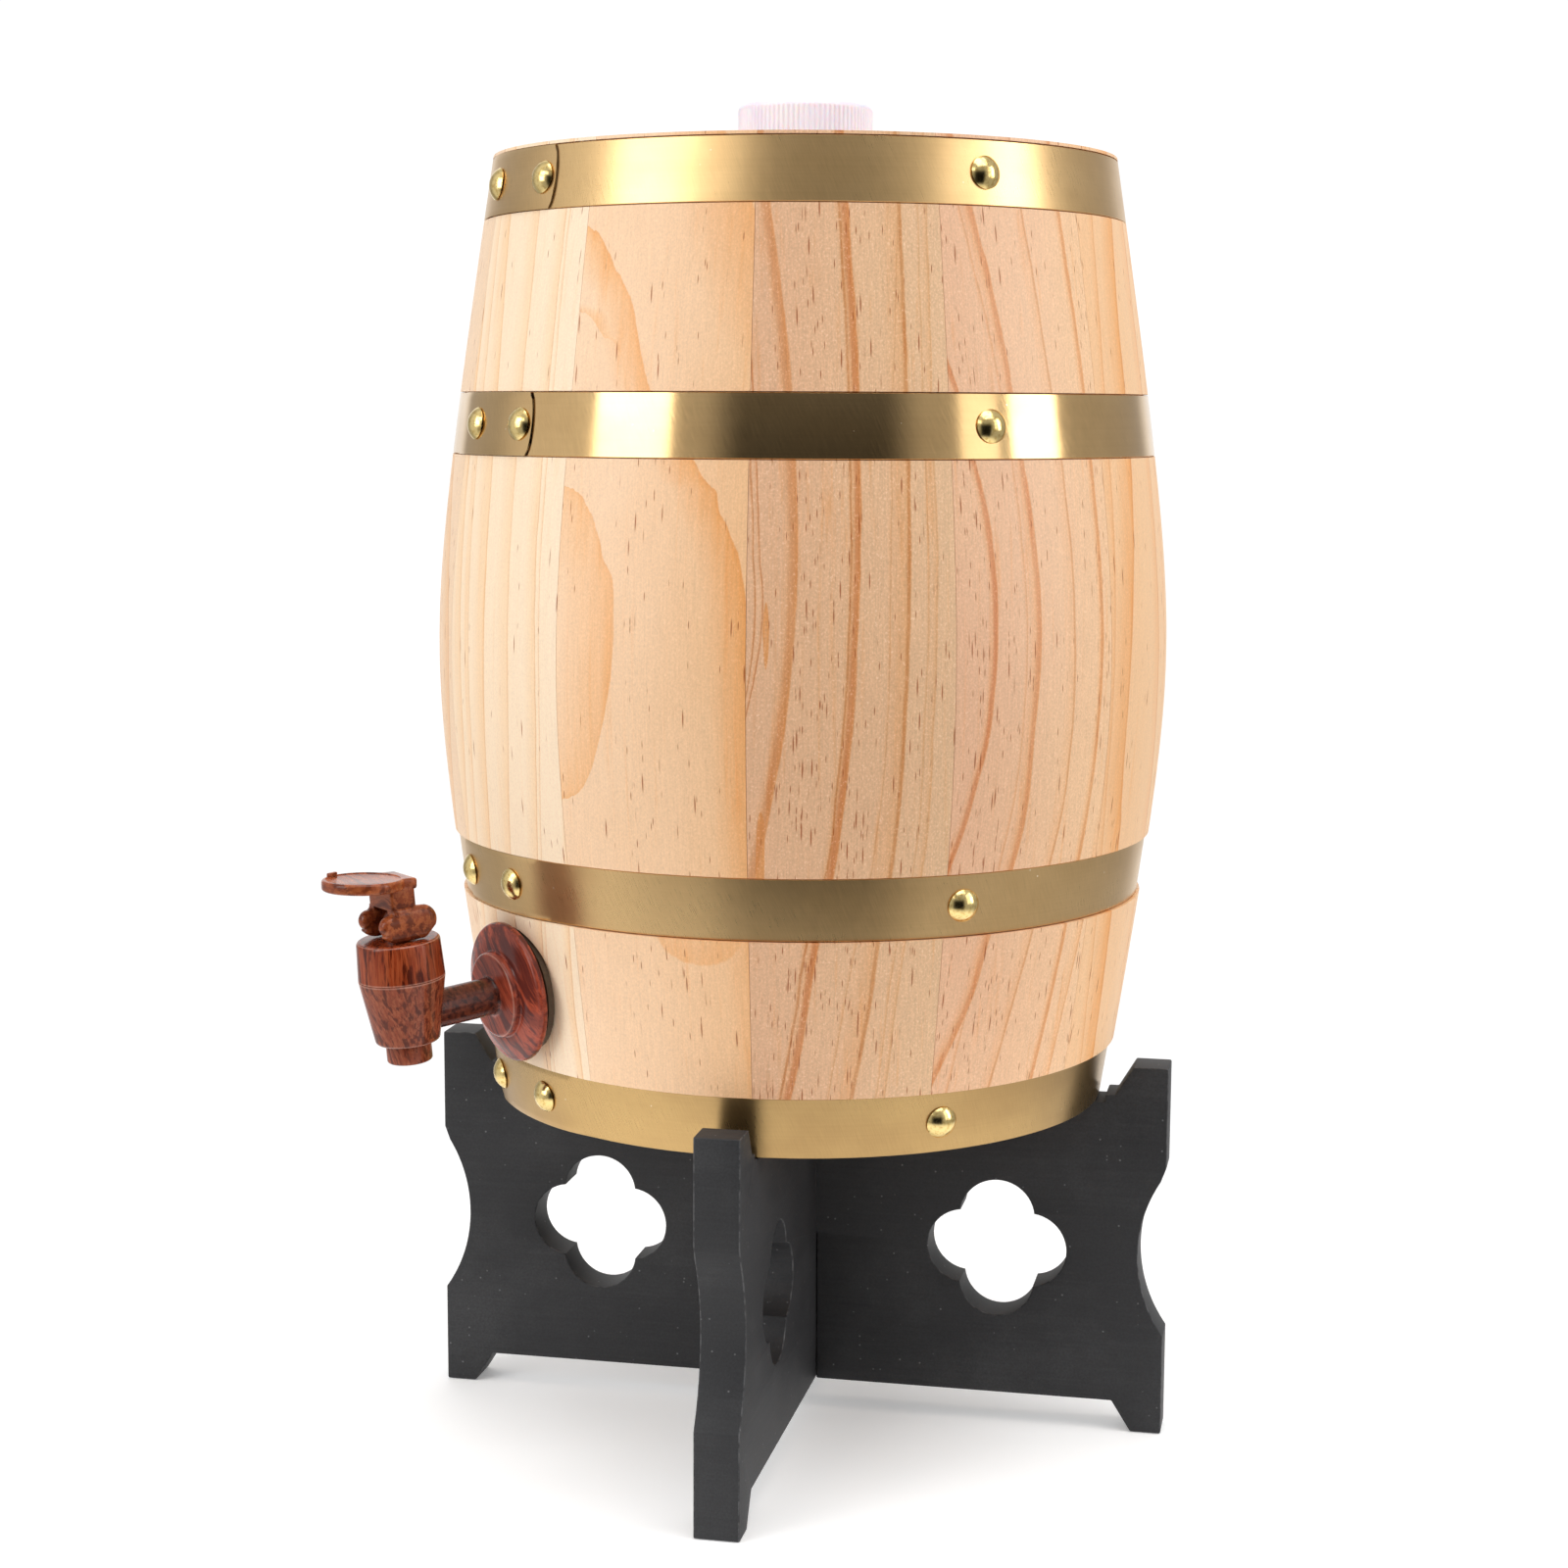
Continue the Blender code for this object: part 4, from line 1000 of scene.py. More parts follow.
        column = look.stretched(across * 130.0 + shift, along * 3.0, 0.3, 1.0)
        wander = look.stretched(across * 60.0, along * 20.0, depth).swing(0.8)
        fleck: Number = 0.0
        for wide, long, share in self.FLECK_SIZES:
            distance, lot = look.cells(
                look.join(across * wide + wander, along * long + shift, wide)
            )
            chosen = lot.above(1.0 - share * self.flecks * (0.25 + column.fade(0.4, 0.68) * 1.3))
            fleck = ((1.0 - distance.fade(0.12, 0.32)) * chosen).most(fleck)
        colour = look.mix(fleck * self.FLECK_STRENGTH, colour, self.fleck)

        look.give("Base Color", colour)
        look.give("Roughness", 0.44 + grain.swing(0.3) + fleck * 0.2)
        look.relief(grain * 0.8 + fibre * 0.5, 0.00004 + 0.00007 * self.rough, 0.7)
        return look.material


@dataclass(frozen=True)
class BrushedBrass:
    """Satin brass strap with fine scratches that cross it aslant, faint smears and a few pits."""

    name: str = "brushed_brass"
    bright: Colour = paint(226, 189, 134)
    dull: Colour = paint(206, 169, 116)
    pit: Colour = paint(246, 236, 214)
    slant: float = 0.45
    roughness: float = 0.3

    def material(self) -> Material:
        """Mixes the finish.

        Returns:
            The material.
        """
        look = Surface(self.name, Metallic=1.0)
        across, along, up = look.split(look.place((0.0, AXIS_Y, 0.0)))
        round_it = look.maths("ARCTAN2", along, across) * BILGE_RADIUS
        scratch = look.stretched(
            (round_it + up * self.slant) * 2300.0, (up - round_it * self.slant) * 130.0, 0.0,
            3.0, 0.6,
        )
        rolled = look.stretched(across * 9.0, along * 9.0, up * 1500.0)
        smear = look.noise(look.join(across, along, up * 1.6), 24.0, 3.0)
        distance, lot = look.cells(look.join(round_it, up, 0.0), 260.0)
        pits = (1.0 - distance.fade(0.03, 0.1)) * lot.above(0.93)
        tone = look.mix(smear.fade(0.35, 0.65) * 0.6 + rolled.swing(0.4), self.bright, self.dull)
        tone = look.shaded(tone, 1.0 + scratch.swing(0.26))
        look.give("Base Color", look.mix(pits * 0.7, tone, self.pit))
        look.give(
            "Roughness", self.roughness + scratch.swing(0.12) + smear.swing(0.12) + pits * 0.3
        )
        look.relief(scratch * 0.7 + rolled * 0.3 + pits, 0.00001, 0.5)
        return look.material


@dataclass(frozen=True)
class PolishedBrass:
    """Bright brass heads with fine handling marks."""

    name: str = "polished_brass"
    bright: Colour = paint(234, 208, 142)
    dull: Colour = paint(206, 174, 104)

    def material(self) -> Material:
        """Mixes the finish.

        Returns:
            The material.
        """
        look = Surface(self.name, Metallic=1.0)
        spot = look.place()
        marks = look.noise(spot, 900.0, 3.0, 0.6)
        look.give("Base Color", look.mix(marks.fade(0.45, 0.7), self.bright, self.dull))
        look.give("Roughness", 0.19 + marks.swing(0.12))
        look.relief(look.noise(spot, 400.0), 0.00002, 0.5)
        return look.material


@dataclass(frozen=True)
class BlackPaint:
    """Matt black paint on sawn board: dust, faint saw lines and worn edges."""

    name: str
    turn_deg: float = 0.0
    coat: Colour = paint(36, 36, 38)
    wear: Colour = paint(88, 88, 89)
    dust: Colour = paint(122, 122, 123)

    def material(self) -> Material:
        """Mixes the finish.

        Returns:
            The material.
        """
        look = Surface(self.name, IOR=1.42)
        spot = look.place((0.0, AXIS_Y, 0.0), (0.0, 0.0, angle_of(self.turn_deg)))
        along, depth, up = look.split(spot)
        cloud = look.noise(spot, 22.0, 4.0, 0.6)
        saw = look.stretched(along * 30.0, depth * 30.0, up * 900.0)
        grit = look.noise(spot, 1300.0, 2.0, 0.6)
        colour = look.mix(cloud.fade(0.4, 0.8) * 0.22 + saw.swing(0.12), self.coat, self.wear)
        distance, lot = look.cells(spot, 420.0)
        speck = (1.0 - distance.fade(0.05, 0.2)) * lot.above(0.86)
        colour = look.mix(speck * 0.5, colour, self.dust)
        edge = look.worn() * look.noise(spot, 300.0, 3.0).fade(0.38, 0.6)
        colour = look.mix(edge * 0.55, colour, self.wear)
        look.give("Base Color", look.shaded(colour, 1.0 + grit.swing(1.1)))
        look.give("Roughness", 0.6 + cloud.swing(0.2) + grit.swing(0.2) - edge * 0.1)
        look.relief(grit * 0.7 + saw * 0.3 + speck * 0.2, 0.0001, 0.5)
        return look.material


class Direction(Enum):
    """Which way the printed grain of the tap runs, as a turn of its frame about the shank."""

    UPRIGHT = 0.0
    LEANING = -0.3
    SLANTED = -0.75
    LEVEL = 1.45


@dataclass(frozen=True)
class RosewoodPrint:
    """Glossy plastic with a printed red wood grain, painted pale along its edges: partly worn
    print, partly a painted highlight.
    """

    name: str
    direction: Direction = Direction.UPRIGHT
    red: Colour = paint(134, 54, 27)
    dark: Colour = paint(60, 16, 8)
    light: Colour = paint(160, 78, 44)
    # wear is the pale edge colour: partly worn print, partly a painted highlight on the rounded
    # lips
    wear: Colour = paint(206, 152, 132)
    gloss: float = 0.2
    fineness: float = 1.0

    def material(self) -> Material:
        """Mixes the finish.

        Returns:
            The material.
        """
        look = Surface(self.name, Coat_Roughness=0.08, IOR=1.34)
        origin = tuple(BODY_AXIS.translation)
        spot = look.place(origin, (TAP_TILT, self.direction.value, 0.0))
        across, along, up = look.split(spot)
        fine = self.fineness
        sway = look.stretched(across * 110.0, along * 110.0, up * 60.0).swing(2.0)
        broad = look.stretched(across * 150.0 + sway, along * 150.0, up * 14.0)
        streak = look.stretched(
            across * 1000.0 * fine + sway, along * 1000.0 * fine + sway, up * 48.0 * fine, 3.0, 0.55
        )
        vein = look.stretched(
            across * 620.0 * fine + sway * 1.5, along * 620.0 * fine, up * 26.0 * fine, 3.0, 0.6
        )
        pore = look.stretched(across * 2600.0, along * 2600.0, up * 210.0)
        colour = look.mix(streak.fade(0.4, 0.62) * 0.75, self.red, self.light)
        colour = look.mix(vein.fade(0.49, 0.6) * 0.85, colour, self.dark)
        colour = look.mix(pore.fade(0.54, 0.68) * 0.5, colour, self.dark)
        colour = look.shaded(colour, 1.0 + broad.swing(0.7))
        # Worn print and painted highlight: the marked lips turn pale
        edge = look.worn() * (0.55 + streak.swing(0.9))
        colour = look.mix(edge, colour, self.wear)
        look.give("Base Color", colour)
        look.give("Roughness", self.gloss + streak.swing(0.1))
        look.give("Coat Weight", 0.06 + broad.swing(0.06))
        look.relief(look.noise(spot, 260.0), 0.00004, 0.4)
        return look.material


@dataclass(frozen=True)
class PlainPlastic:
    """Moulded plastic or rubber with a fine skin."""

    name: str
    tone: Colour
    shade: Colour
    roughness: float = 0.4
    glow: float = 0.0
    skin: float = 700.0

    def material(self) -> Material:
        """Mixes the finish.

        Returns:
            The material.
        """
        look = Surface(self.name, Subsurface_Weight=self.glow, Subsurface_Scale=0.004, IOR=1.5)
        spot = look.place()
        cloud = look.noise(spot, 60.0, 3.0)
        skin = look.noise(spot, self.skin)
        look.give("Base Color", look.mix(cloud.fade(0.35, 0.7), self.tone, self.shade))
        look.give("Roughness", self.roughness + skin.swing(0.2) + cloud.swing(0.1))
        look.relief(skin, 0.00003, 0.5)
        return look.material


@dataclass(frozen=True)
class DrawnSteel:
    """Bright drawn wire with fine draw lines."""

    name: str = "drawn_steel"

    def material(self) -> Material:
        """Mixes the finish.

        Returns:
            The material.
        """
        look = Surface(self.name, Metallic=1.0)
        lines = look.noise(look.place(), 1600.0)
        look.give("Base Color", look.mix(lines, paint(206, 206, 208), paint(166, 167, 170)))
        look.give("Roughness", 0.2 + lines * 0.16)
        look.relief(lines, 0.00002, 0.4)
        return look.material


@dataclass(frozen=True)
class PaleFloor:
    """The pale studio floor, which runs out into the white room."""

    name: str = "pale_floor"
    glow: float = 0.22
    solid_reach: float = 0.2
    reach: float = 0.54

    def material(self) -> Material:
        """Mixes the finish.

        Returns:
            The material.
        """
        look = Surface(self.name, Emission_Color=paint(255, 255, 255), Emission_Strength=self.glow)
        spot = look.place()
        cloud = look.noise(spot, 6.0)
        look.give("Base Color", look.mix(cloud, paint(249, 249, 249), paint(252, 252, 252)))
        look.give("Roughness", 0.7 + cloud.swing(0.1))
        across, along, _ = look.split(spot)
        reach = (across * across + along * along).root()
        look.give("Alpha", 1.0 - reach.fade(self.solid_reach, self.reach))
        return look.material


# The barrel's wall


def wall_tree() -> ShapeTree:
    """The tree that bends a flat blank round the barrel.

    Returns:
        A tree whose blank holds an angle in X, a depth behind the wall in Y and a height in Z.
    """
    tree = ShapeTree("follow_the_wall")
    start, turn = tree.number("Start Angle"), tree.number("Turn")
    bilge, blend = tree.number("Bilge Radius"), tree.number("Bilge Blend")
    middle, taper = tree.number("Bilge Height"), tree.number("Taper")
    axis, foot = tree.number("Axis Y"), tree.number("Foot")
    along, depth, height = tree.position()
    rise = height - middle
    radius = bilge - taper * ((rise * rise + blend * blend).root() - blend) - depth
    angle = start + turn * along
    place = tree.join(radius * angle.cosine(), radius * angle.sine() + axis, height + foot)
    tree.end(tree.moved(tree.mesh, place))
    return tree


WALL_SIZES = {
    "Bilge Radius": BILGE_RADIUS,
    "Bilge Blend": BILGE_BLEND,
    "Bilge Height": BILGE_HEIGHT,
    "Taper": WALL_TAPER,
    "Axis Y": AXIS_Y,
    "Foot": BARREL_FOOT,
}


class Winding(Enum):
    """Which way a hoop's outer end points, seen from outside."""

    TO_THE_RIGHT = 1
    TO_THE_LEFT = -1


@dataclass(frozen=True)
class Hoop:
    """One hoop: lower edge, how far it is set in, winding, lap rivets and first nail."""

    name: str
    low: float
    set_in: float
    winding: Winding
    lap_degs: tuple[float, float]
    first_nail_deg: float

    WIDTH = 0.020
    THICKNESS = 0.0012
    LAP_GAP = 0.00015
    LAP_THINNING = 0.6

    @property
    def high(self) -> float:
        """Upper edge."""
        return self.low + self.WIDTH

    @property
    def middle(self) -> float:
        """Height of the row of rivets."""
        return self.low + self.WIDTH / 2

    @property
    def lap_lift(self) -> float:
        """How far the outer end, which is hammered thin, stands proud of the strap."""
        return self.THICKNESS * (1 - self.LAP_THINNING) + self.LAP_GAP


HOOPS = (
    Hoop("hoop_1", 0.2972, 0.0, Winding.TO_THE_RIGHT, (-13.4, 4.3), 85.5),
    Hoop("hoop_2", 0.2202, 0.0, Winding.TO_THE_RIGHT, (-8.3, 5.4), 83.4),
    Hoop("hoop_3", 0.072, 0.0011, Winding.TO_THE_LEFT, (-14.0, 1.9), 79.8),
    Hoop("hoop_4", 0.0, 0.0015, Winding.TO_THE_LEFT, (-16.6, 2.8), 79.3),
)


# Where the rings run on the staves that the tap's side shows
TAP_STAVE_RINGS = (
    Ring(((87, -27), (36, -24.5), (0, -23), (-25, -23.5), (-56, -28)), 8.0, 0.45, 0.35),
    Ring(((87, -19.5), (36, -17), (0, -16), (-25, -16.5), (-56, -20)), 5.0, 0.35, 0.3),
    Ring(((140, -13.6), (87, -8.3), (37, -5.1), (-8, -5), (-60, -9.6), (-131, -17)), 9.0, 0.5, 0.4),
    Ring(((139, 5.4), (87, 6.8), (38, 8.8), (-14, 9.3), (-60, 3.4), (-131, -4)), 8.0, 0.4, 0.35),
    Ring((
        (138, 18.9), (87, 20.1), (38, 22), (-13, 23.2), (-59, 18.3), (-131, 10.4),
    ), 6.0, 0.4, 0.5, 0.6),
    Ring(((138, 20.6), (38, 24), (-13, 25), (-59, 20), (-131, 12.4)), 1.5, 0.3, 0.35, 0.5),
    Ring(((-50, 34), (-83, 28.5), (-107, 26.4), (-131, 25.8)), 4.0, 0.5, 0.4, 0.7),
)
SECOND_STAVE_RINGS = (
    Ring((
        (59, -36), (57, -28), (51, -21.4), (43, -17.5), (37, -15.5), (30, -12), (18, -10.6),
        (2, -11.3), (-12, -14), (-22, -16.9), (-32, -20.9), (-38, -25.8), (-42, -36),
    ), 23.0, 0.75, 0.12, 1.2, 0.6),
    Ring((
        (140, -36), (136, -25), (123, -15.9), (114, -10.1), (103, -6.9), (87, -1.4), (75, 7),
        (66, 14.3), (60, 18), (57, 21.6), (52, 23), (45, 26.8), (31, 31.2), (0, 34.5), (-60, 36),
    ), 14.0, 1.0, 0.15, 1.2, 0.6),
    Ring((
        (114, -40), (111, -27.8), (109, -24), (104, -20.5), (102, -16), (98, -12.7), (94, -11.5),
        (87, -10.2), (76, 60),
    ), -11.0, 0.6, 0.0),
    Ring(((150, 24), (136, 30), (107, 42), (87, 56)), 24.0, 0.7, 0.0),
)
THIRD_STAVE_RINGS = (
    Ring(((67, -28.7), (40, -27.8), (18, -27.1), (3, -29.3), (-9, -31.7)), 1.2, 0.5, 1.0, 0.5, 0.5),
    Ring(((67, -30.2), (40, -29.6), (18, -29.4), (0, -31.4), (-20, -35)), 1.0, 0.5, 0.9, 0.5, 0.3),
    Ring((
        (136, -22.7), (108, -19.6), (88, -17.9), (28, -17), (-18, -21), (-43, -25.2), (-61, -28.6),
    ), 4.8, 0.85, 0.5, 3.2, 0.4),
    Ring((
        (137, 0), (88, 2.6), (49, 2.9), (12, 1.4), (-26, -0.9), (-60, -4.8), (-81, -8.8),
        (-114, -13), (-133, -16.2),
    ), 4.6, 0.9, 0.8, 2.6, 0.75),
    Ring((
        (137, -2.4), (88, -0.3), (28, -0.4), (-34, -4.1), (-60, -6.9), (-82, -12.5), (-104, -15),
        (-130, -18.8),
    ), 1.8, 0.5, 1.0, 0.9, 0.25),
    Ring((
        (124, 14.6), (63, 12.6), (24, 11.8), (-9, 11.1), (-61, 6.7), (-84, 2.4), (-124, -3.4),
    ), 1.5, 0.3, 0.4, 0.5, 0.3),
    Ring((
        (137, 16.2), (104, 17.4), (28, 18), (-35, 15.5), (-61, 13.2), (-82, 10), (-105, 7.5),
        (-133, 3.2),
    ), 8.0, 0.55, 0.8, 1.5, 0.15),
    Ring((
        (87, 22.6), (28, 23.9), (-20, 22.5), (-57, 20.4), (-82, 15.6), (-132, 10.8),
    ), 1.2, 0.3, 0.3, 0.6, 0.2),
    Ring((
        (87, 25.4), (28, 26.7), (-20, 25.3), (-57, 23.2), (-82, 18.4), (-132, 13.6),
    ), 3.0, 0.4, 0.3, 0.7, 0.2),
)
FOURTH_STAVE_RINGS = (
    Ring((
        (100, -31), (88, -27), (67, -22.9), (54, -20.3), (38, -18.5), (11, -18), (-6, -19.1),
        (-21, -20.8), (-32, -23.4), (-44, -26.1), (-61, -30.9),
    ), 3.6, 0.8, 0.7, 2.0, 0.9),
    Ring((
        (138, -16.2), (123, -13), (88, -7.6), (67, -5.1), (38, -2.1), (10, -1.4), (-24, -3.4),
        (-42, -4.2), (-61, -7.7), (-83, -13.8), (-101, -17.5), (-131, -28.4),
    ), 5.4, 0.8, 0.55, 2.4, 0.8),
    Ring(((138, -20.6), (88, -12), (67, -9.2), (-24, -8), (-61, -13)), 1.6, 0.4, 0.3, 0.8, 0.7),
    Ring((
        (138, 2.6), (103, 6.9), (67, 11.1), (27, 13.5), (-39, 11.9), (-61, 8), (-99, 0.3),
        (-131, -6.4),
    ), 5.0, 0.4, 0.7, 1.0, 0.4),
    Ring((
        (139, 19.6), (103, 23.3), (66, 26), (4, 27.6), (-35, 25.2), (-61, 22.1), (-101, 17),
        (-131, 12),
    ), 3.6, 0.8, 0.6, 1.8, 0.6),
    Ring(((-50, 33), (-84, 28), (-131, 20)), 5.0, 0.5, 0.5, 0.8, 0.6),
)
FIFTH_STAVE_RINGS = (
    Ring(((141, -18), (66, -26), (-28, -30), (-85, -24), (-130, -18)), 4.0, 0.45, 0.4),
    Ring((
        (141, -1.4), (116, -6.1), (87, -8.8), (66, -10.5), (44, -13.7), (12, -18.5), (-28, -20),
        (-57, -16), (-130, -8),
    ), 12.0, 1.0, 0.45, 1.2, 0.6),
    Ring(((140, 14), (60, 10.5), (-4, 9.2), (-41, 13), (-130, 20)), 9.0, 0.5, 0.7, 0.9, 0.8),
    Ring(((140, 26), (0, 22), (-130, 28)), 7.0, 0.5, 0.5),
)
DRAWN_CUTS = (
    PineCut(
        rings=TAP_STAVE_RINGS, left=paint(254, 227, 194), right=paint(255, 229, 197), flecks=0.15,
        rough=0.15,
    ),
    PineCut(
        rings=SECOND_STAVE_RINGS,
        tongues=(Tongue((-78.0, 15.0), (12.0, 15.0), 0.6),),
        left=paint(252, 215, 178), right=paint(243, 194, 145), flecks=0.34, rough=0.45,
    ),
    PineCut(
        rings=THIRD_STAVE_RINGS,
        tongues=(Tongue((-55.0, -27.6), (15.0, 1.5), 1.5), Tongue((14.0, -26.2), (10.0, 0.9), 1.2)),
        left=paint(228, 180, 142), right=paint(232, 190, 148), flecks=0.88, rough=1.0,
    ),
    PineCut(
        rings=FOURTH_STAVE_RINGS, left=paint(236, 186, 149), right=paint(246, 202, 158),
        flecks=0.66, rough=0.8,
    ),
    PineCut(
        rings=FIFTH_STAVE_RINGS, left=paint(246, 198, 150), right=paint(247, 205, 159), flecks=0.35,
        rough=0.4,
    ),
)


@dataclass
class Staves:
    """The twelve staves: their outside, the hoops' grooves and the grooves that hold the heads."""

    tree: ShapeTree
    count: int = 12
    first_joint_deg: float = 16.5
    thickness: float = 0.014
    joint: float = 0.00012
    steps: int = 22
    croze_depth: float = 0.004
    tongue_half: float = 0.0023
    bottom_tongue: float = 0.015
    top_tongue: float = 0.3035
    chime_bevel: float = 0.003
    chime_rise: float = 0.005
    outer_counts: tuple[int, ...] = (2, 12, 26, 12)
    seat_radius: float = 0.0216
    seat_depth: float = 0.0015
    hole_radius: float = 0.0084
    bore_start: float = 0.01
    bore_end: float = -0.03

    def outline(self) -> Profile:
        """Draws a stave's section.

        Returns:
            Its (depth behind the wall, height) points.
        """
        points: Profile = []
        bare_top = BARREL_HEIGHT
        for hoop, count in zip(HOOPS, self.outer_counts):
            high = min(hoop.high + GAP, BARREL_HEIGHT)
            low = max(hoop.low - GAP, 0.0)
            if count:
                points += [(0.0, h) for h in spaced(bare_top, high, count)]
            groove = hoop.set_in + Hoop.THICKNESS + GAP
            points += [(groove, h) for h in spaced(high, low, 5)]
            bare_top = low
        inner = self.thickness
        croze = inner - self.croze_depth
        points += [(inner - self.chime_bevel, 0.0), (inner, self.chime_rise)]
        for tongue in (self.bottom_tongue, self.top_tongue):
            low, high = tongue - self.tongue_half, tongue + self.tongue_half
            points += [(inner, low), (croze, low), (croze, high), (inner, high)]
            if tongue == self.bottom_tongue:
                rows = spaced(high, self.top_tongue - self.tongue_half, 14)
                points += [(inner, h) for h in rows[1:-1]]
        points += [
            (inner, BARREL_HEIGHT - self.chime_rise), (inner - self.chime_bevel, BARREL_HEIGHT)
        ]
        return points

    def cuts(self) -> list[PineCut]:
        """Picks the figure of each stave, from the one that carries the tap.

        Returns:
            The cuts.
        """
        made = []
        for number in range(1, self.count + 1):
            cut = DRAWN_CUTS[number - 1] if number <= len(DRAWN_CUTS) else self.grown(number)
            middle = self.first_joint_deg + 360.0 / self.count * (number - 1.5)
            made.append(replace(cut, name=f"pine_stave_{number:02d}", azimuth_deg=middle))
        return made

    def grown(self, number: int) -> PineCut:
        """Draws the figure of a stave on the far side, whose rings bow with the wall's bulge.

        Args:
            number: The stave's number, which is also the seed of its figure.

        Returns:
            The cut, still without its name and place.
        """
        luck = Random(SEED * 100 + number)
        broad = luck.random() < 0.4
        side = luck.choice((-1.0, 1.0))
        lean = luck.uniform(-0.05, 0.05)
        rings = []
        place = -31.0 + luck.random() * 8.0
        while place < 38.0 and len(rings) < 8:
            step = luck.uniform(14.0, 20.0) if broad else luck.uniform(6.0, 12.0)
            bow = side * (luck.uniform(0.35, 0.55) if broad else luck.uniform(0.04, 0.16))
            path = []
            for height in (150, 110, 70, 35, 0, -35, -70, -110, -150):
                drop = hypot(height, BILGE_BLEND * MM) - BILGE_BLEND * MM
                path.append((height, place - bow * drop - lean * height + luck.uniform(-0.6, 0.6)))
            deep, line = luck.uniform(0.4, 0.9), luck.uniform(0.3, 0.8)
            width, red = luck.uniform(0.6, 1.4), luck.uniform(0.3, 0.9)
            rings.append(Ring(tuple(path), step * luck.uniform(0.4, 0.85), deep, line, width, red))
            place += step
        pale, warm = paint(252, 222, 188), paint(230, 189, 152)
        tone = luck.random()
        return PineCut(
            rings=tuple(rings),
            left=blended(pale, warm, tone),
            right=blended(pale, warm, min(max(tone + luck.uniform(-0.25, 0.25), 0.0), 1.0)),
            flecks=luck.uniform(0.2, 0.9),
            rough=luck.uniform(0.3, 0.9),
        )

    def build(self) -> None:
        """Bends, bores and dresses every stave."""
        outline = self.outline()
        for number, cut in enumerate(self.cuts(), 1):
            half = pi / self.count - self.joint / 2 / wall_radius(0.0)
            angles = spaced(-half, half, self.steps + 1)
            blank = extruded(
                cut.name, [[(a, depth, height) for depth, height in outline] for a in angles]
            )
            finish = cut.material()
            sizes = {"Start Angle": angle_of(cut.azimuth_deg), "Turn": 1.0, **WALL_SIZES}
            mesh = smoothed(self.tree.run(cut.name, blank, finish, sizes))
            if number == 1:
                mesh = self.bored(mesh)
            put(cut.name, mesh, [finish], "barrel", [f"stave_{number:02d}"])

    def bored(self, mesh: Mesh) -> Mesh:
        """Bores the tap's hole and cuts the flat seat of its flange.

        Args:
            mesh: The stave.

        Returns:
            The bored stave.
        """
        for name, radius, end, steps in (
            ("tap_hole", self.hole_radius, self.bore_end, 48),
            ("flange_seat", self.seat_radius, -self.seat_depth, 72),
        ):
            bore = [(0.0, self.bore_start), (radius, self.bore_start), (radius, end), (0.0, end)]
            mesh = carved(mesh, turned(name, bore, steps, ALONG_SHANK))
        return mesh


@dataclass
class Hoops:
    """The four brass straps, each bent round its groove with its ends lapped."""

    tree: ShapeTree
    end_margin: float = 0.0065
    end_bulge: float = 0.0016
    corner: float = 0.0007
    ramp_deg: float = 9.0
    step_deg: float = 1.5
    rows: int = 10
    edge: float = 0.0002

    def section(self) -> Profile:
        """Draws the strap's section, its edges eased.

        Returns:
            Its (depth, height above its middle) points.
        """
        half = Hoop.WIDTH / 2
        heights = spaced(half - self.edge, -half + self.edge, self.rows + 1)
        face = [(0.0, h) for h in heights]
        back = [(Hoop.THICKNESS, h) for h in reversed(heights)]
        return [
            *face, (self.edge, -half), (Hoop.THICKNESS - self.edge, -half), *back,
            (Hoop.THICKNESS - self.edge, half), (self.edge, half),
        ]

    def blank(self, hoop: Hoop) -> tuple[Mesh, float]:
        """The strap before it is bent.

        Args:
            hoop: The hoop.

        Returns:
            The flat strap, and the angle at which its inner end starts.
        """
        first, last = hoop.lap_degs
        radius = wall_radius(hoop.middle)
        margin = degrees(self.end_margin / radius)
        whole = 2 * pi + radians(last - first + 2 * margin)
        to_the_right = hoop.winding is Winding.TO_THE_RIGHT
        inner_end = angle_of(first - margin) if to_the_right else angle_of(last + margin)
        columns = spaced(0.0, whole, int(degrees(whole) / self.step_deg) + 1)
        section = self.section()
        ramp = radians(self.ramp_deg)
        rows = []
        for column in columns:
            row = []
            for depth, rise in section:
                share = abs(rise) / (Hoop.WIDTH / 2)
                cut = (self.end_bulge * share**2 + self.corner * share**12) / radius
                along = min(max(column, cut), whole - cut)
                climb = min(max((along - (2 * pi - ramp)) / ramp, 0.0), 1.0)
                climb = climb * climb * (3 - 2 * climb)
                lift = climb * hoop.lap_lift
                behind = depth * (1 - Hoop.LAP_THINNING * climb)
                row.append((along, hoop.set_in + behind - lift, hoop.middle + rise))
            rows.append(row)
        return extruded(hoop.name, rows), inner_end

    def build(self) -> None:
        """Bends and dresses every hoop."""
        satin = BrushedBrass().material()
        burnished = BrushedBrass("burnished_brass", roughness=0.13).material()
        # hoop_4 gets a darker copy of the brass: painted shade for the dim light it reflects near
        # the floor
        painted_shade_brass = BrushedBrass("dulled_brass", paint(196, 162, 109), paint(178, 144, 96)).material()
        for hoop in HOOPS:
            finish = {"hoop_2": burnished, "hoop_4": painted_shade_brass}.get(hoop.name, satin)
            blank, start = self.blank(hoop)
            sizes = {"Start Angle": start, "Turn": float(hoop.winding.value), **WALL_SIZES}
            mesh = smoothed(self.tree.run(hoop.name, blank, finish, sizes))
            put(f"brass_{hoop.name}", mesh, [finish], "barrel", [hoop.name])


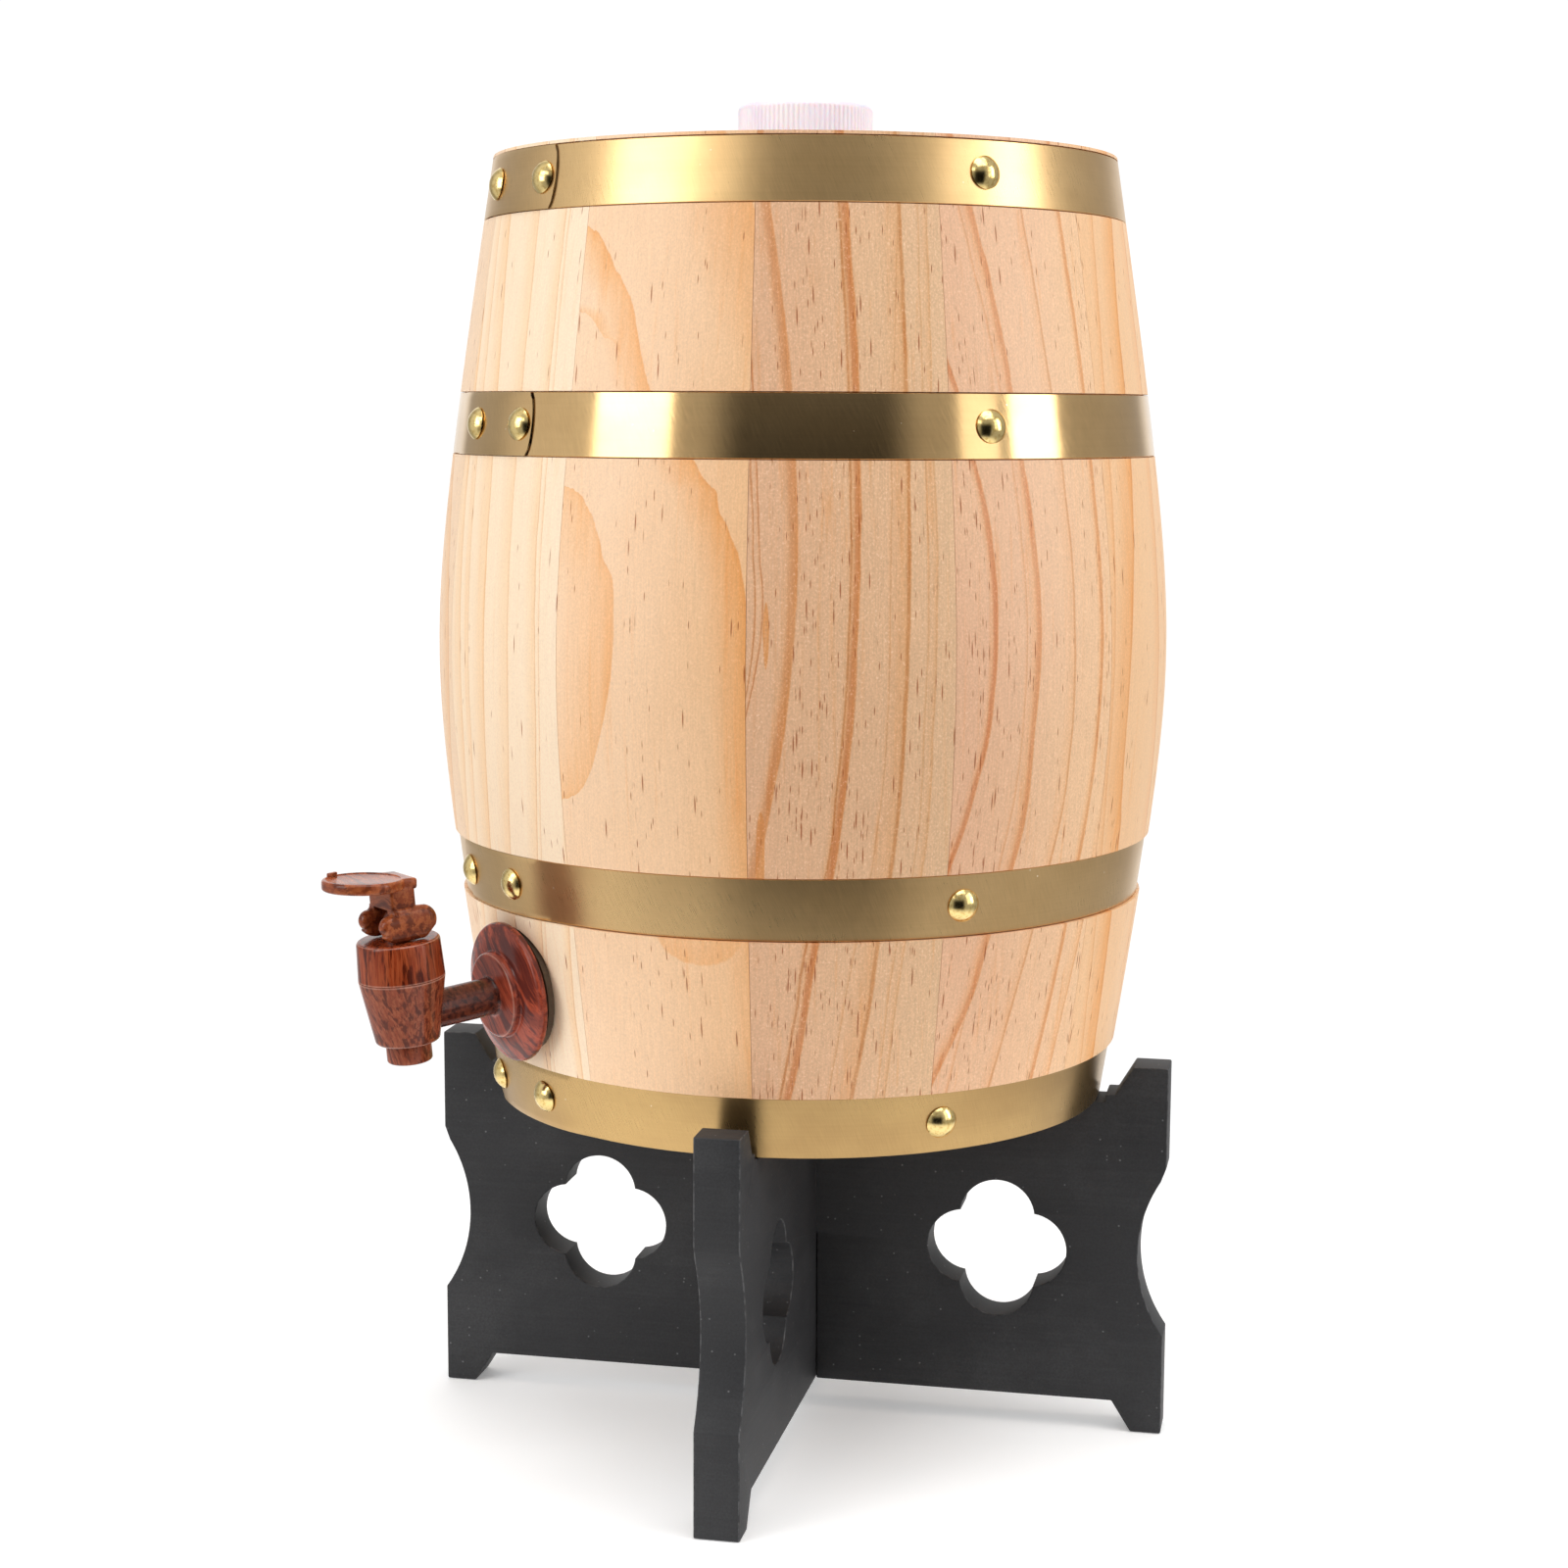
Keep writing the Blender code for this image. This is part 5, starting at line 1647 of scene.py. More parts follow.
@dataclass
class Rivets:
    """The lap rivets and nails of the hoops: one domed head set out on every place."""

    head_radius: float = 0.00525
    head_height: float = 0.003
    lip: float = 0.0004
    shank_radius: float = 0.0015
    grip: float = 0.0062
    nails: int = 3
    nail_pitch_deg: float = 90.0
    steps: int = 28
    dome_steps: int = 9
    size_spread: float = 0.012

    def head(self) -> Mesh:
        """Turns a domed head on a short shank.

        Returns:
            The head, its seat at height 0.
        """
        rise = self.head_height - self.lip
        sphere = (self.head_radius**2 + rise**2) / (2 * rise)
        edge = asin(self.head_radius / sphere)
        centre = self.head_height - sphere
        dome = [(0.0, self.head_height)]
        for i in range(1, self.dome_steps + 1):
            angle = edge * i / self.dome_steps
            dome.append((sphere * sin(angle), centre + sphere * cos(angle)))
        profile = [
            *dome, (self.head_radius, self.lip / 2), (self.head_radius - self.lip / 2, 0.0),
            (self.shank_radius, 0.0), (self.shank_radius, -self.grip), (0.0, -self.grip),
        ]
        return turned("rivet_head", profile, self.steps, Matrix.Identity(4))

    def seats(self) -> tuple[Mesh, list[str]]:
        """Where the heads sit.

        Returns:
            A mesh of points with the way that each head faces, and the nodes of the heads.
        """
        points, facings, nodes = [], [], []
        for hoop in HOOPS:
            slope = wall_slope(hoop.middle)
            laps = [
                (f"{hoop.name}_rivet_{n}", azimuth, 2) for n, azimuth in enumerate(hoop.lap_degs, 1)
            ]
            turns = [hoop.first_nail_deg + n * self.nail_pitch_deg for n in range(self.nails)]
            nails = [(f"{hoop.name}_nail_{n}", azimuth, 1) for n, azimuth in enumerate(turns, 1)]
            for node, azimuth, layers in laps + nails:
                stack = (layers - 1) * hoop.lap_lift
                radius = wall_radius(hoop.middle) - hoop.set_in + stack + GAP / 4
                angle = angle_of(azimuth)
                points.append(around(radius, angle, BARREL_FOOT + hoop.middle))
                facings.append((cos(slope) * cos(angle), cos(slope) * sin(angle), -sin(slope)))
                nodes.append(node)
        mesh = meshed("rivet_seats", points, [])
        facing = mesh.attributes.new("facing", "FLOAT_VECTOR", "POINT")
        facing.data.foreach_set("vector", [part for each in facings for part in each])
        return mesh, nodes

    def tree(self) -> ShapeTree:
        """Sets a head on every seat, each turned and sized a little at random.

        Returns:
            The tree.
        """
        tree = ShapeTree("set_the_rivets")
        head, seed, spread = tree.thing("Head"), tree.whole("Seed"), tree.number("Size Spread")
        template = tree.add("GeometryNodeObjectInfo", {}, {"Object": head}).outputs["Geometry"]
        facing = tree.add(
            "GeometryNodeInputNamedAttribute", {"data_type": "FLOAT_VECTOR"}, {"Name": "facing"}
        )
        turn = tree.add(
            "FunctionNodeAlignRotationToVector", {"axis": "Z"},
            {"Vector": facing.outputs["Attribute"]},
        )
        luck = tree.add(
            "FunctionNodeRandomValue", {"data_type": "FLOAT"},
            {2: 1.0 - spread, 3: 1.0 + spread, "Seed": seed}
        )
        inputs = {
            "Points": tree.mesh, "Instance": template, "Rotation": turn.outputs["Rotation"],
            "Scale": luck.outputs[1],
        }
        tree.end(tree.add("GeometryNodeInstanceOnPoints", {}, inputs).outputs["Instances"])
        return tree

    def build(self) -> None:
        """Sets and dresses the heads."""
        finish = PolishedBrass().material()
        seats, nodes = self.seats()
        template = linked("rivet_head", self.head())
        sizes = {"Head": template, "Seed": SEED, "Size Spread": self.size_spread}
        mesh = self.tree().run("brass_rivets", seats, finish, sizes)
        bpy.data.objects.remove(template, do_unlink=True)
        put("brass_rivets", smoothed(mesh), [finish], "barrel", nodes)


@dataclass
class EndsAndTank:
    """The heads and the liner tank, which keep their shapes."""

    boards: int = 3
    board_pitch: float = 0.074
    half_width: float = 0.12
    ring_places: tuple[float, ...] = (-30.0, -17.0, -4.0, 10.0, 24.0, 34.0)
    ring_heights: tuple[int, ...] = (-120, -40, 40, 120)

    def board_cut(self, end: str, offset: int, number: int) -> PineCut:
        """Draws the figure of one board of a head.

        Args:
            end: The barrel's end, top or bottom.
            offset: The end's number.
            number: The board's number.

        Returns:
            The board's cut.
        """
        luck = Random(SEED + 31 * offset + number)
        middle = (number - 2) * self.board_pitch * MM
        lean = luck.uniform(-0.03, 0.03)
        rings = []
        for place in self.ring_places:
            across = middle + place + luck.uniform(-3.0, 3.0)
            path = tuple(
                (h, across + lean * h + luck.uniform(-0.8, 0.8)) for h in self.ring_heights
            )
            rings.append(Ring(path, 8.0, luck.uniform(0.4, 0.7), luck.uniform(0.3, 0.7)))
        return PineCut(
            f"pine_{end}_head_{number}", 17.0 * offset + 40.0 * number, tuple(rings), flecks=0.5,
            level=True, half_width=self.half_width,
        )

    def build(self) -> None:
        """Dresses the boards of both heads and the tank."""
        for end, offset in (("top", 1), ("bottom", 2)):
            for number in range(1, self.boards + 1):
                dress(f"{end}_head_board_{number}", self.board_cut(end, offset, number).material())
        tank = PlainPlastic(
            "blown_tank", paint(236, 237, 237), paint(226, 228, 228), 0.45, 0.2, 300.0
        )
        dress("liner_tank", tank.material())


# Filler neck and cap


@dataclass
class NeckAndCap:
    """The threaded filler neck, and the ribbed screw cap with its sealing disc."""

    neck_radius: float = 0.0185
    neck_bore: float = 0.0148
    neck_top: float = 0.3329
    flange_width: float = 0.0075
    flange_top: float = 0.3108
    flange_foot: float = 0.3088
    spigot_end: float = 0.2985
    cap_radius: float = 0.02275
    cap_bore: float = 0.0205
    cap_top: float = 0.3372
    cap_roof: float = 0.0022
    skirt_end: float = 0.3112
    edge_round: float = 0.0028
    rib_count: int = 84
    rib_depth: float = 0.00042
    rib_foot: float = 0.3156
    rib_head: float = 0.3352
    steps_per_rib: int = 7
    pitch: float = 0.004
    ridge: float = 0.0015
    thread_foot: float = 0.3220
    turns: int = 2
    neck_steps: int = 120
    ridge_bury: float = 0.0004
    ridge_crest: float = 0.0005
    ridge_root: float = 0.001
    ridge_run_out: int = 10
    ridge_least: float = 0.05
    lip: float = 0.0005
    skirt_lip: float = 0.0004
    rib_reach: float = 0.0008
    rib_run_out: float = 0.0006

    RIB_BLEND = 0.0002
    RIB_ROUNDNESS = 0.6

    def thread(self, name: str, root: float, depth: float, foot: float) -> Mesh:
        """A helical ridge.

        Args:
            name: The mesh's name.
            root: Radius of the wall that it stands on.
            depth: How far it stands out, or in where negative.
            foot: Height of its start.

        Returns:
            The closed ridge.
        """
        bury = -self.ridge_bury if depth > 0 else self.ridge_bury
        crest, base = self.ridge_crest, self.ridge_root
        outline = [(bury, -base), (depth, -crest), (depth, crest), (bury, base)]
        count = self.neck_steps * self.turns
        sections = []
        for i in range(count + 1):
            angle = 2 * pi * self.turns * i / count
            fade = max(
                min(1.0, i / self.ridge_run_out, (count - i) / self.ridge_run_out), self.ridge_least
            )
            rise = foot + self.pitch * self.turns * i / count
            row = []
            for out, up in outline:
                radius = root + (out if out == bury else bury + (out - bury) * fade)
                row.append((radius * cos(angle), radius * sin(angle), rise + up))
            sections.append(row)
        return settled(extruded(name, sections), BARREL_AXIS)

    def neck(self) -> Mesh:
        """Turns the neck with its flange and gives it its thread.

        Returns:
            The closed mesh.
        """
        flange = self.neck_radius + self.flange_width
        lip = self.lip
        profile = [
            (self.neck_radius - lip, self.neck_top), (self.neck_radius, self.neck_top - lip),
            (self.neck_radius, self.flange_top), (flange - lip, self.flange_top),
            (flange, self.flange_top - lip), (flange, self.flange_foot),
            (self.neck_radius, self.flange_foot), (self.neck_radius, self.spigot_end),
            (self.neck_bore, self.spigot_end), (self.neck_bore, self.neck_top - lip),
            (self.neck_bore + lip, self.neck_top),
        ]
        wall = turned("neck_wall", profile, self.neck_steps, BARREL_AXIS)
        thread = self.thread("neck_thread", self.neck_radius, self.ridge, self.thread_foot)
        return joined("threaded_neck", [wall, thread])

    def cap_tree(self) -> ShapeTree:
        """Presses the grip ribs into the cap's side.

        Returns:
            The tree.
        """
        tree = ShapeTree("press_the_ribs")
        count, depth = tree.number("Rib Count"), tree.number("Rib Depth")
        low, high = tree.number("Rib Foot"), tree.number("Rib Head")
        axis, side, run = tree.number("Axis Y"), tree.number("Side Radius"), tree.number("Run Out")
        across, along, up = tree.position()
        level = along - axis
        radius = (across * across + level * level).root()
        angle = tree.maths("ARCTAN2", level, across)
        wave = (count * angle).cosine() * 0.5 + 0.5
        valley = 1.0 - wave**self.RIB_ROUNDNESS
        inside = ((up - low) / run).held() * ((high - up) / run).held()
        outer = ((radius - side) / self.RIB_BLEND + 1.0).held()
        share = 1.0 - valley * depth * inside * outer / radius
        tree.end(tree.moved(tree.mesh, tree.join(across * share, level * share + axis, up)))
        return tree

    def cap(self, finish: Material) -> Mesh:
        """Turns the cap's shell, presses its ribs and cuts the thread inside.

        Args:
            finish: The cap's material.

        Returns:
            The closed mesh.
        """
        corner = top_corner(self.cap_radius, self.cap_top, self.edge_round, 8)
        heights = spaced(self.cap_top - self.edge_round, self.skirt_end + self.skirt_lip, 26)
        side = [(self.cap_radius, h) for h in heights[1:]]
        roof = self.cap_top - self.cap_roof
        profile = [
            (0.0, self.cap_top), *corner, *side, (self.cap_radius - self.skirt_lip, self.skirt_end),
            (self.cap_bore, self.skirt_end), (self.cap_bore, roof), (0.0, roof),
        ]
        shell = turned("cap_shell", profile, self.rib_count * self.steps_per_rib, BARREL_AXIS)
        sizes = {
            "Rib Count": float(self.rib_count), "Rib Depth": self.rib_depth,
            "Rib Foot": BARREL_FOOT + self.rib_foot,
            "Rib Head": BARREL_FOOT + self.rib_head, "Axis Y": AXIS_Y,
            "Side Radius": self.cap_radius - self.rib_reach, "Run Out": self.rib_run_out,
        }
        ribbed = smoothed(self.cap_tree().run("cap_ribs", shell, finish, sizes))
        ridge = self.thread(
            "cap_thread", self.cap_bore, -self.ridge, self.thread_foot - self.pitch / 2
        )
        return joined("ribbed_cap", [ribbed, ridge])

    def build(self) -> None:
        """Makes and dresses the neck, the cap and its disc."""
        white = PlainPlastic("white_cap", paint(224, 222, 238), paint(234, 232, 245), 0.38, 0.35)
        finish = white.material()
        put("threaded_neck", self.neck(), [finish], "barrel", ["filler_neck"])
        put("ribbed_cap", self.cap(finish), [finish], "cap", ["screw_cap"])
        pale = PlainPlastic("pale_silicone", paint(222, 221, 216), paint(208, 207, 202), 0.5, 0.2)
        dress("cap_gasket", pale.material())


# Tap


@dataclass
class Tap:
    """The tap's body, bonnet and hidden valve, in red wood-print plastic."""

    flange_radius: float = 0.0232
    flange_back: float = 0.0011
    back_radius: float = 0.0196
    back_rim: float = 0.0027
    flange_rim: float = 0.0057
    flange_round: float = 0.0016
    collar_radius: float = 0.0142
    collar_foot: float = 0.0074
    collar_rim: float = 0.0104
    collar_round: float = 0.0015
    shank_radius: float = 0.0062
    tail_radius: float = 0.008
    tail_end: float = -0.0303
    body_top: float = 0.013
    seam_radius: float = 0.0139
    body_bottom: float = -0.0082
    foot_radius: float = 0.0105
    foot_round: float = 0.0015
    nozzle_radius: float = 0.0073
    nozzle_end: float = -0.0146
    outlet_radius: float = 0.0045
    bonnet_top: float = 0.0258
    bonnet_top_radius: float = 0.0134
    bonnet_round: float = 0.0012
    bonnet_roof: float = 0.0033
    skirt_radius: float = 0.010
    skirt_wall: float = 0.0022
    bonnet_floor: float = 0.004
    chamber_radius: float = 0.008
    chamber_floor: float = -0.004
    shank_bore: float = 0.0035
    stem_clearance: float = 0.0046
    stem_rise: float = 0.0025
    spring_foot: float = 0.0045
    spring_head: float = 0.0222
    spring_radius: float = 0.006
    spring_wire: float = 0.0006
    spring_turns: int = 5
    spring_steps: int = 24
    steps: int = 72
    seam: float = 0.0002
    seam_gap: float = 0.00006
    pale_edge_reach: float = 0.0005
    back_round: float = 0.0006
    pipe_fillet: float = 0.0012
    collar_fillet: float = 0.0004
    rim_turn: float = pi * 0.46
    dome_power: float = 1.7
    dome_steps: int = 8
    nozzle_round: float = 0.0008
    pipe_width_share: float = 0.9
    pipe_height_share: float = 0.98

    def guard(self, top: Point, bottom: Point, from_top: bool) -> Point:
        """Finds where the pale edge of one end of a straight side stops: worn print with a painted
        highlight.

        Args:
            top: The side's upper end.
            bottom: Its lower end.
            from_top: Whether the pale edge is at the upper end.

        Returns:
            The point on the side.
        """
        share = self.pale_edge_reach / hypot(top[0] - bottom[0], top[1] - bottom[1])
        share = share if from_top else 1.0 - share
        return top[0] + (bottom[0] - top[0]) * share, top[1] + (bottom[1] - top[1]) * share

    def edges(self) -> tuple[Profile, Profile]:
        """The edges painted pale: worn print with a painted highlight.

        Returns:
            (radius, height) of those about the body's axis, and of those about the shank's.
        """
        seam = (self.body_top - self.seam, self.body_top + self.seam_gap + self.seam)
        foot = foot_corner(self.foot_radius, self.body_bottom, self.foot_round, 2)[1]
        rim = top_corner(self.bonnet_top_radius, self.bonnet_top, self.bonnet_round, 2)[1]
        collar = top_corner(self.collar_radius, self.collar_rim, self.collar_round, 2)[1]
        return [*((self.seam_radius, height) for height in seam), foot, rim], [collar]

    def shank(self) -> Mesh:
        """Turns the tail, the domed flange, the stepped collar and the pipe to the body.

        Returns:
            The closed mesh.
        """
        inside = BODY_REACH - self.chamber_radius / 2
        pull = self.flange_round
        fillet, blend = self.pipe_fillet, self.collar_fillet
        rim = arc((self.flange_radius - pull, self.flange_rim - pull), pull, self.rim_turn, 0.0, 7)
        back = foot_corner(self.flange_radius, self.back_rim, self.back_round, 3)
        edge = top_corner(self.collar_radius, self.collar_rim, self.collar_round, 6)
        waist = arc((self.shank_radius + fillet, self.collar_rim + fillet), fillet, pi, pi * 1.5, 4)
        start = self.collar_radius + blend
        dome = []
        for i in range(1, self.dome_steps):
            share = i / self.dome_steps
            radius = start + (self.flange_radius - pull - self.collar_radius - blend) * share
            rise = (rim[0][1] - self.collar_foot) * share**self.dome_power
            dome.append((radius, self.collar_foot + rise))
        profile = [
            (0.0, inside), (self.shank_radius, inside), *waist, *edge,
            (self.collar_radius, self.collar_foot + blend), (start, self.collar_foot), *dome, *rim,
            *back, (self.back_radius, self.flange_back), (self.tail_radius, self.flange_back),
            (self.tail_radius, self.tail_end), (0.0, self.tail_end),
        ]
        return turned("tap_shank", profile, self.steps, ALONG_SHANK)

    def body(self) -> Mesh:
        """Turns the body, joins the shank and bores both for the valve and the drink.

        Returns:
            The closed mesh.
        """
        foot = foot_corner(self.foot_radius, self.body_bottom, self.foot_round, 6)
        lip = foot_corner(self.nozzle_radius, self.nozzle_end, self.nozzle_round, 4)
        top = self.body_top
        corner = (self.seam_radius, top - self.seam)
        profile = [
            (0.0, top), (self.seam_radius - self.seam, top), corner,
            self.guard(corner, foot[0], True), *foot, (self.nozzle_radius, self.body_bottom), *lip,
            (0.0, self.nozzle_end),
        ]
        body = turned("tap_body", profile, self.steps, BODY_AXIS)
        body = carved(body, self.shank(), "UNION")
        skirt = self.skirt_radius + RUNNING_GAP
        end = self.nozzle_end - LOOSE_GAP
        chamber = [
            (0.0, top + LOOSE_GAP), (skirt, top + LOOSE_GAP), (skirt, self.bonnet_floor),
            (self.chamber_radius, self.bonnet_floor), (self.chamber_radius, self.chamber_floor),
            (self.outlet_radius, self.chamber_floor), (self.outlet_radius, end), (0.0, end),
        ]
        body = carved(body, turned("valve_chamber", chamber, 48, BODY_AXIS))
        radius, end = self.shank_bore, self.tail_end - LOOSE_GAP
        bore = [(0.0, BODY_REACH), (radius, BODY_REACH), (radius, end), (0.0, end)]
        return carved(body, turned("shank_bore", bore, 32, ALONG_SHANK))

    def bonnet(self) -> Mesh:
        """Turns the bonnet that closes the body.

        Returns:
            The closed mesh.
        """
        shoulder = self.body_top + self.seam_gap
        edge = top_corner(self.bonnet_top_radius, self.bonnet_top, self.bonnet_round, 6)
        hollow = self.skirt_radius - self.skirt_wall
        skirt_end = self.bonnet_floor + GAP
        roof = self.bonnet_top - self.bonnet_roof
        profile = [
            (self.stem_clearance, self.bonnet_top), *edge,
            self.guard(edge[-1], (self.seam_radius, shoulder + self.seam), False),
            (self.seam_radius, shoulder + self.seam), (self.seam_radius - self.seam, shoulder),
            (self.skirt_radius, shoulder), (self.skirt_radius, skirt_end), (hollow, skirt_end),
            (hollow, roof), (self.stem_clearance, roof),
        ]
        return turned("tap_bonnet", profile, self.steps, BODY_AXIS)

    def spring(self) -> Mesh:
        """Winds the coil between the stem's collar and the bonnet's roof.

        Returns:
            The closed mesh.
        """
        low = self.spring_foot + self.spring_wire
        high = self.spring_head - self.spring_wire
        count = self.spring_turns * self.spring_steps
        curve = bpy.data.curves.new("coil_spring", "CURVE")
        curve.dimensions = "3D"
        curve.bevel_depth = self.spring_wire
        curve.bevel_resolution = 2
        curve.use_fill_caps = True
        points = []
        for i in range(count + 1):
            angle = 2 * pi * i / self.spring_steps
            across, along = self.spring_radius * cos(angle), self.spring_radius * sin(angle)
            points.append((across, along, low + (high - low) * i / count))
        lay(curve, points, False)
        return settled(taken(linked("coil_spring", curve)), BODY_AXIS)

    def fit_spring(self, steel: Material) -> None:
        """Puts the spring in, with a mesh of its own; in the tap, the stem squashes it against the
        roof as the lever is pressed.

        Args:
            steel: Its material.
        """
        piece = put("coil_spring", self.spring(), [steel], "barrel", ["valve_spring"])
        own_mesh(piece)

    def build(self) -> None:
        """Makes and dresses the tap."""
        upright = RosewoodPrint("rosewood_upright").material()
        leaning = RosewoodPrint(
            "rosewood_leaning", Direction.LEANING, paint(136, 64, 40), paint(80, 32, 20),
            paint(162, 88, 58),
        ).material()
        slanted = RosewoodPrint(
            "rosewood_slanted", Direction.SLANTED, paint(142, 62, 44), paint(86, 38, 34),
            paint(182, 82, 56), fineness=0.6,
        ).material()
        # The pipe's print is darker than the body's: painted shade where the pipe runs between the
        # collar and the body
        pipe = RosewoodPrint(
            "rosewood_pipe", Direction.LEVEL, paint(92, 40, 26), paint(52, 20, 14),
            paint(122, 60, 38), fineness=0.7,
        ).material()
        # The rounded lips are marked for the pale edge colour: worn print with a painted highlight
        body_edges, shank_edges = self.edges()
        mesh = wear_and_highlight_at(wear_and_highlight_at(self.body(), BODY_AXIS, body_edges), ALONG_SHANK, shank_edges)
        finishes = [leaning, slanted, pipe]
        tap = put("turned_tap_body", mesh, finishes, "barrel", ["tap_body"])
        self.share_out(tap)
        bonnet = wear_and_highlight_at(self.bonnet(), BODY_AXIS, body_edges)
        put("turned_bonnet", bonnet, [upright], "barrel", ["tap_bonnet"])
        self.dress_inside()

    def share_out(self, piece: bpy.types.Object) -> None:
        """Gives the flange the slanted print and the pipe its own darker print, which is painted
        shade.

        Args:
            piece: The tap's body, with the prints of body, flange and pipe in its slots.
        """
        to_shank, to_body = ALONG_SHANK.inverted(), BODY_AXIS.inverted()
        wide = self.shank_radius * self.pipe_width_share
        high = self.shank_radius * self.pipe_height_share
        for face in piece.data.polygons:
            across, along, up = to_body @ face.center
            in_pipe = along > self.foot_radius and abs(across) < wide and abs(up) < high
            if (to_shank @ face.center).z < self.collar_rim + GAP:
                face.material_index = 1
            elif in_pipe or hypot(across, along) > self.seam_radius:
                face.material_index = 2

    def dress_inside(self) -> None:
        """Dresses the gaskets, the nut, the valve and the pin, and puts the spring in."""
        rubber = PlainPlastic("grey_rubber", paint(98, 80, 60), paint(78, 62, 46), 0.7).material()
        for node in ("outer_gasket", "inner_gasket"):
            dress(node, rubber)
        dress("back_nut", RosewoodPrint("rosewood_nut").material())
        moulding = PlainPlastic("red_moulding", paint(122, 62, 40), paint(108, 52, 34), 0.35)
        dress("valve_stem", moulding.material())
        clear = PlainPlastic(
            "clear_silicone", paint(216, 214, 208), paint(200, 199, 194), 0.45, 0.3
        )
        dress("valve_seal", clear.material())
        steel = DrawnSteel().material()
        self.fit_spring(steel)
        dress("lever_pin", steel)


@dataclass
class Lever:
    """The tap's lever: two rounded cam cheeks, a block and a dished thumb pad."""

    cam_base: float = 0.0054
    lift_per_rad: float = 0.00358
    reach_deg: float = 48.0
    cheek_outer: float = 0.0095
    cheek_inner: float = 0.0048
    cheek_edge: float = 0.0021
    cheek_corner: float = 0.0026
    nose_radius: float = 0.0034
    nose: Point = (0.0060, 0.0002)
    lobe_radius: float = 0.0050
    lobe_setback: float = 0.0054
    heel: float = 0.006
    block_front: float = 0.005
    block_back: float = 0.0038
    block_half: float = 0.008
    block_foot: float = 0.0035
    block_rise: float = 0.0112
    eye_clearance: float = 0.0050
    pad_radius: float = 0.013
    pad_centre: float = 0.0102
    pad_thickness: float = 0.0035
    pad_tail: float = 0.005
    pad_lift_deg: float = 5.5
    rim_width: float = 0.0009
    dish_depth: float = 0.0004
    dish_slope: float = 0.6
    dish_fillet: Point = (0.0004, 0.0012)
    dish_clear: float = 0.001
    nib_deg: float = 62.0
    nib_half_turn: float = 0.16
    nib_setback: float = 0.001
    nib_depth: Point = (-0.0007, 0.0006)
    nib_rise: float = 0.0001
    nib_thickness: float = 0.0018
    nib_edge: float = 0.0003
    lobe_degs: Point = (108.0, 207.0)
    nose_degs: Point = (-48.0, 92.0)
    cam_steps: int = 20
    cheek_sink: float = 0.002
    front_step: float = 0.0008
    corner: float = 0.0012
    block_edge: float = 0.0005
    pad_edge: float = 0.0009
    slot_reach: float = 0.02

    def cheek_outline(self) -> Profile:
        """Draws a cheek from the side.

        Returns:
            Its points about the pivot, outward and up.
        """
        face = []
        for i in range(self.cam_steps + 1):
            angle = radians(self.reach_deg) * i / self.cam_steps
            reach = self.cam_base + self.lift_per_rad * angle
            face.append((
                reach * sin(angle) + self.lift_per_rad * cos(angle),
                -reach * cos(angle) + self.lift_per_rad * sin(angle),
            ))
        centre = (-self.lobe_setback, self.cam_base - self.lobe_radius)
        lobe = arc(centre, self.lobe_radius, *map(radians, self.lobe_degs), 16)
        nose = arc(self.nose, self.nose_radius, *map(radians, self.nose_degs), 14)
        inside = self.block_foot + self.cheek_sink
        return [
            (-self.heel, -self.cam_base), *face, *nose,
            (self.block_front, self.block_foot + self.front_step), (self.block_front, inside),
            (-self.block_back, inside), *lobe,
        ]

    def cheeks(self) -> list[Mesh]:
        """Cuts the two cheeks and rounds them over.

        Returns:
            Their closed meshes.
        """
        thickness = self.cheek_outer - self.cheek_inner
        offset = (self.cheek_outer + self.cheek_inner) / 2
        outline = eased(self.cheek_outline(), self.cheek_corner, 5)
        places = [SIDE_PLANE @ raised(side * offset) for side in (-1, 1)]
        return [plate("cheek", [outline], thickness, self.cheek_edge, place) for place in places]

    def block(self) -> Mesh:
        """Cuts the block that joins the cheeks under the pad.

        Returns:
            The closed mesh.
        """
        half = self.block_half
        outline = [
            (-half, -self.block_front), (half, -self.block_front), (half, self.block_back),
            (-half, self.block_back),
        ]
        height = self.block_rise + self.pad_thickness / 2 - self.block_foot
        place = LEVER_PIVOT @ raised(self.block_foot + height / 2)
        rounded = eased(outline, self.corner, 4)
        block = plate("block", [rounded], height, self.block_edge, place)
        inner, reach = self.cheek_inner, self.slot_reach
        opening = [(-inner, -reach), (inner, -reach), (inner, reach), (-inner, reach)]
        slot = plate("slot", [opening], 2 * self.eye_clearance, 0.0, LEVER_PIVOT)
        return carved(block, slot)

    def pad(self) -> Mesh:
        """Cuts the thumb pad: a disc with a low rim, square at its tail.

        Returns:
            The closed mesh.
        """
        join = self.pad_centre - sqrt(self.pad_radius**2 - self.block_half**2)
        angle = atan2(self.block_half, join - self.pad_centre)
        disc = arc((self.pad_centre, 0.0), self.pad_radius, -angle, angle, 56)
        tail = [(-self.pad_tail, self.block_half), (-self.pad_tail, -self.block_half)]
        outline = eased([*tail, *disc], self.corner, 4)
        place = self.pad_plane()
        pad = plate("pad", [outline], self.pad_thickness, self.pad_edge, place)
        top = self.pad_thickness / 2
        above, floor = top + self.dish_clear, top - self.dish_depth
        radius = self.pad_radius - self.rim_width
        near, far = self.dish_fillet
        bowl = [
            (0.0, above), (radius, above), (radius - near, top - self.dish_depth * self.dish_slope),
            (radius - far, floor), (0.0, floor),
        ]
        tool = turned("dish", bowl, 72, place @ Matrix.Translation((self.pad_centre, 0.0, 0.0)))
        return carved(pad, tool)

    def pad_plane(self) -> Matrix:
        """The pad's middle plane, lifted a little towards its front."""
        lift = Matrix.Rotation(-radians(self.pad_lift_deg), 4, "Y")
        return LEVEL_PLANE @ raised(self.block_rise + self.pad_thickness / 2) @ lift

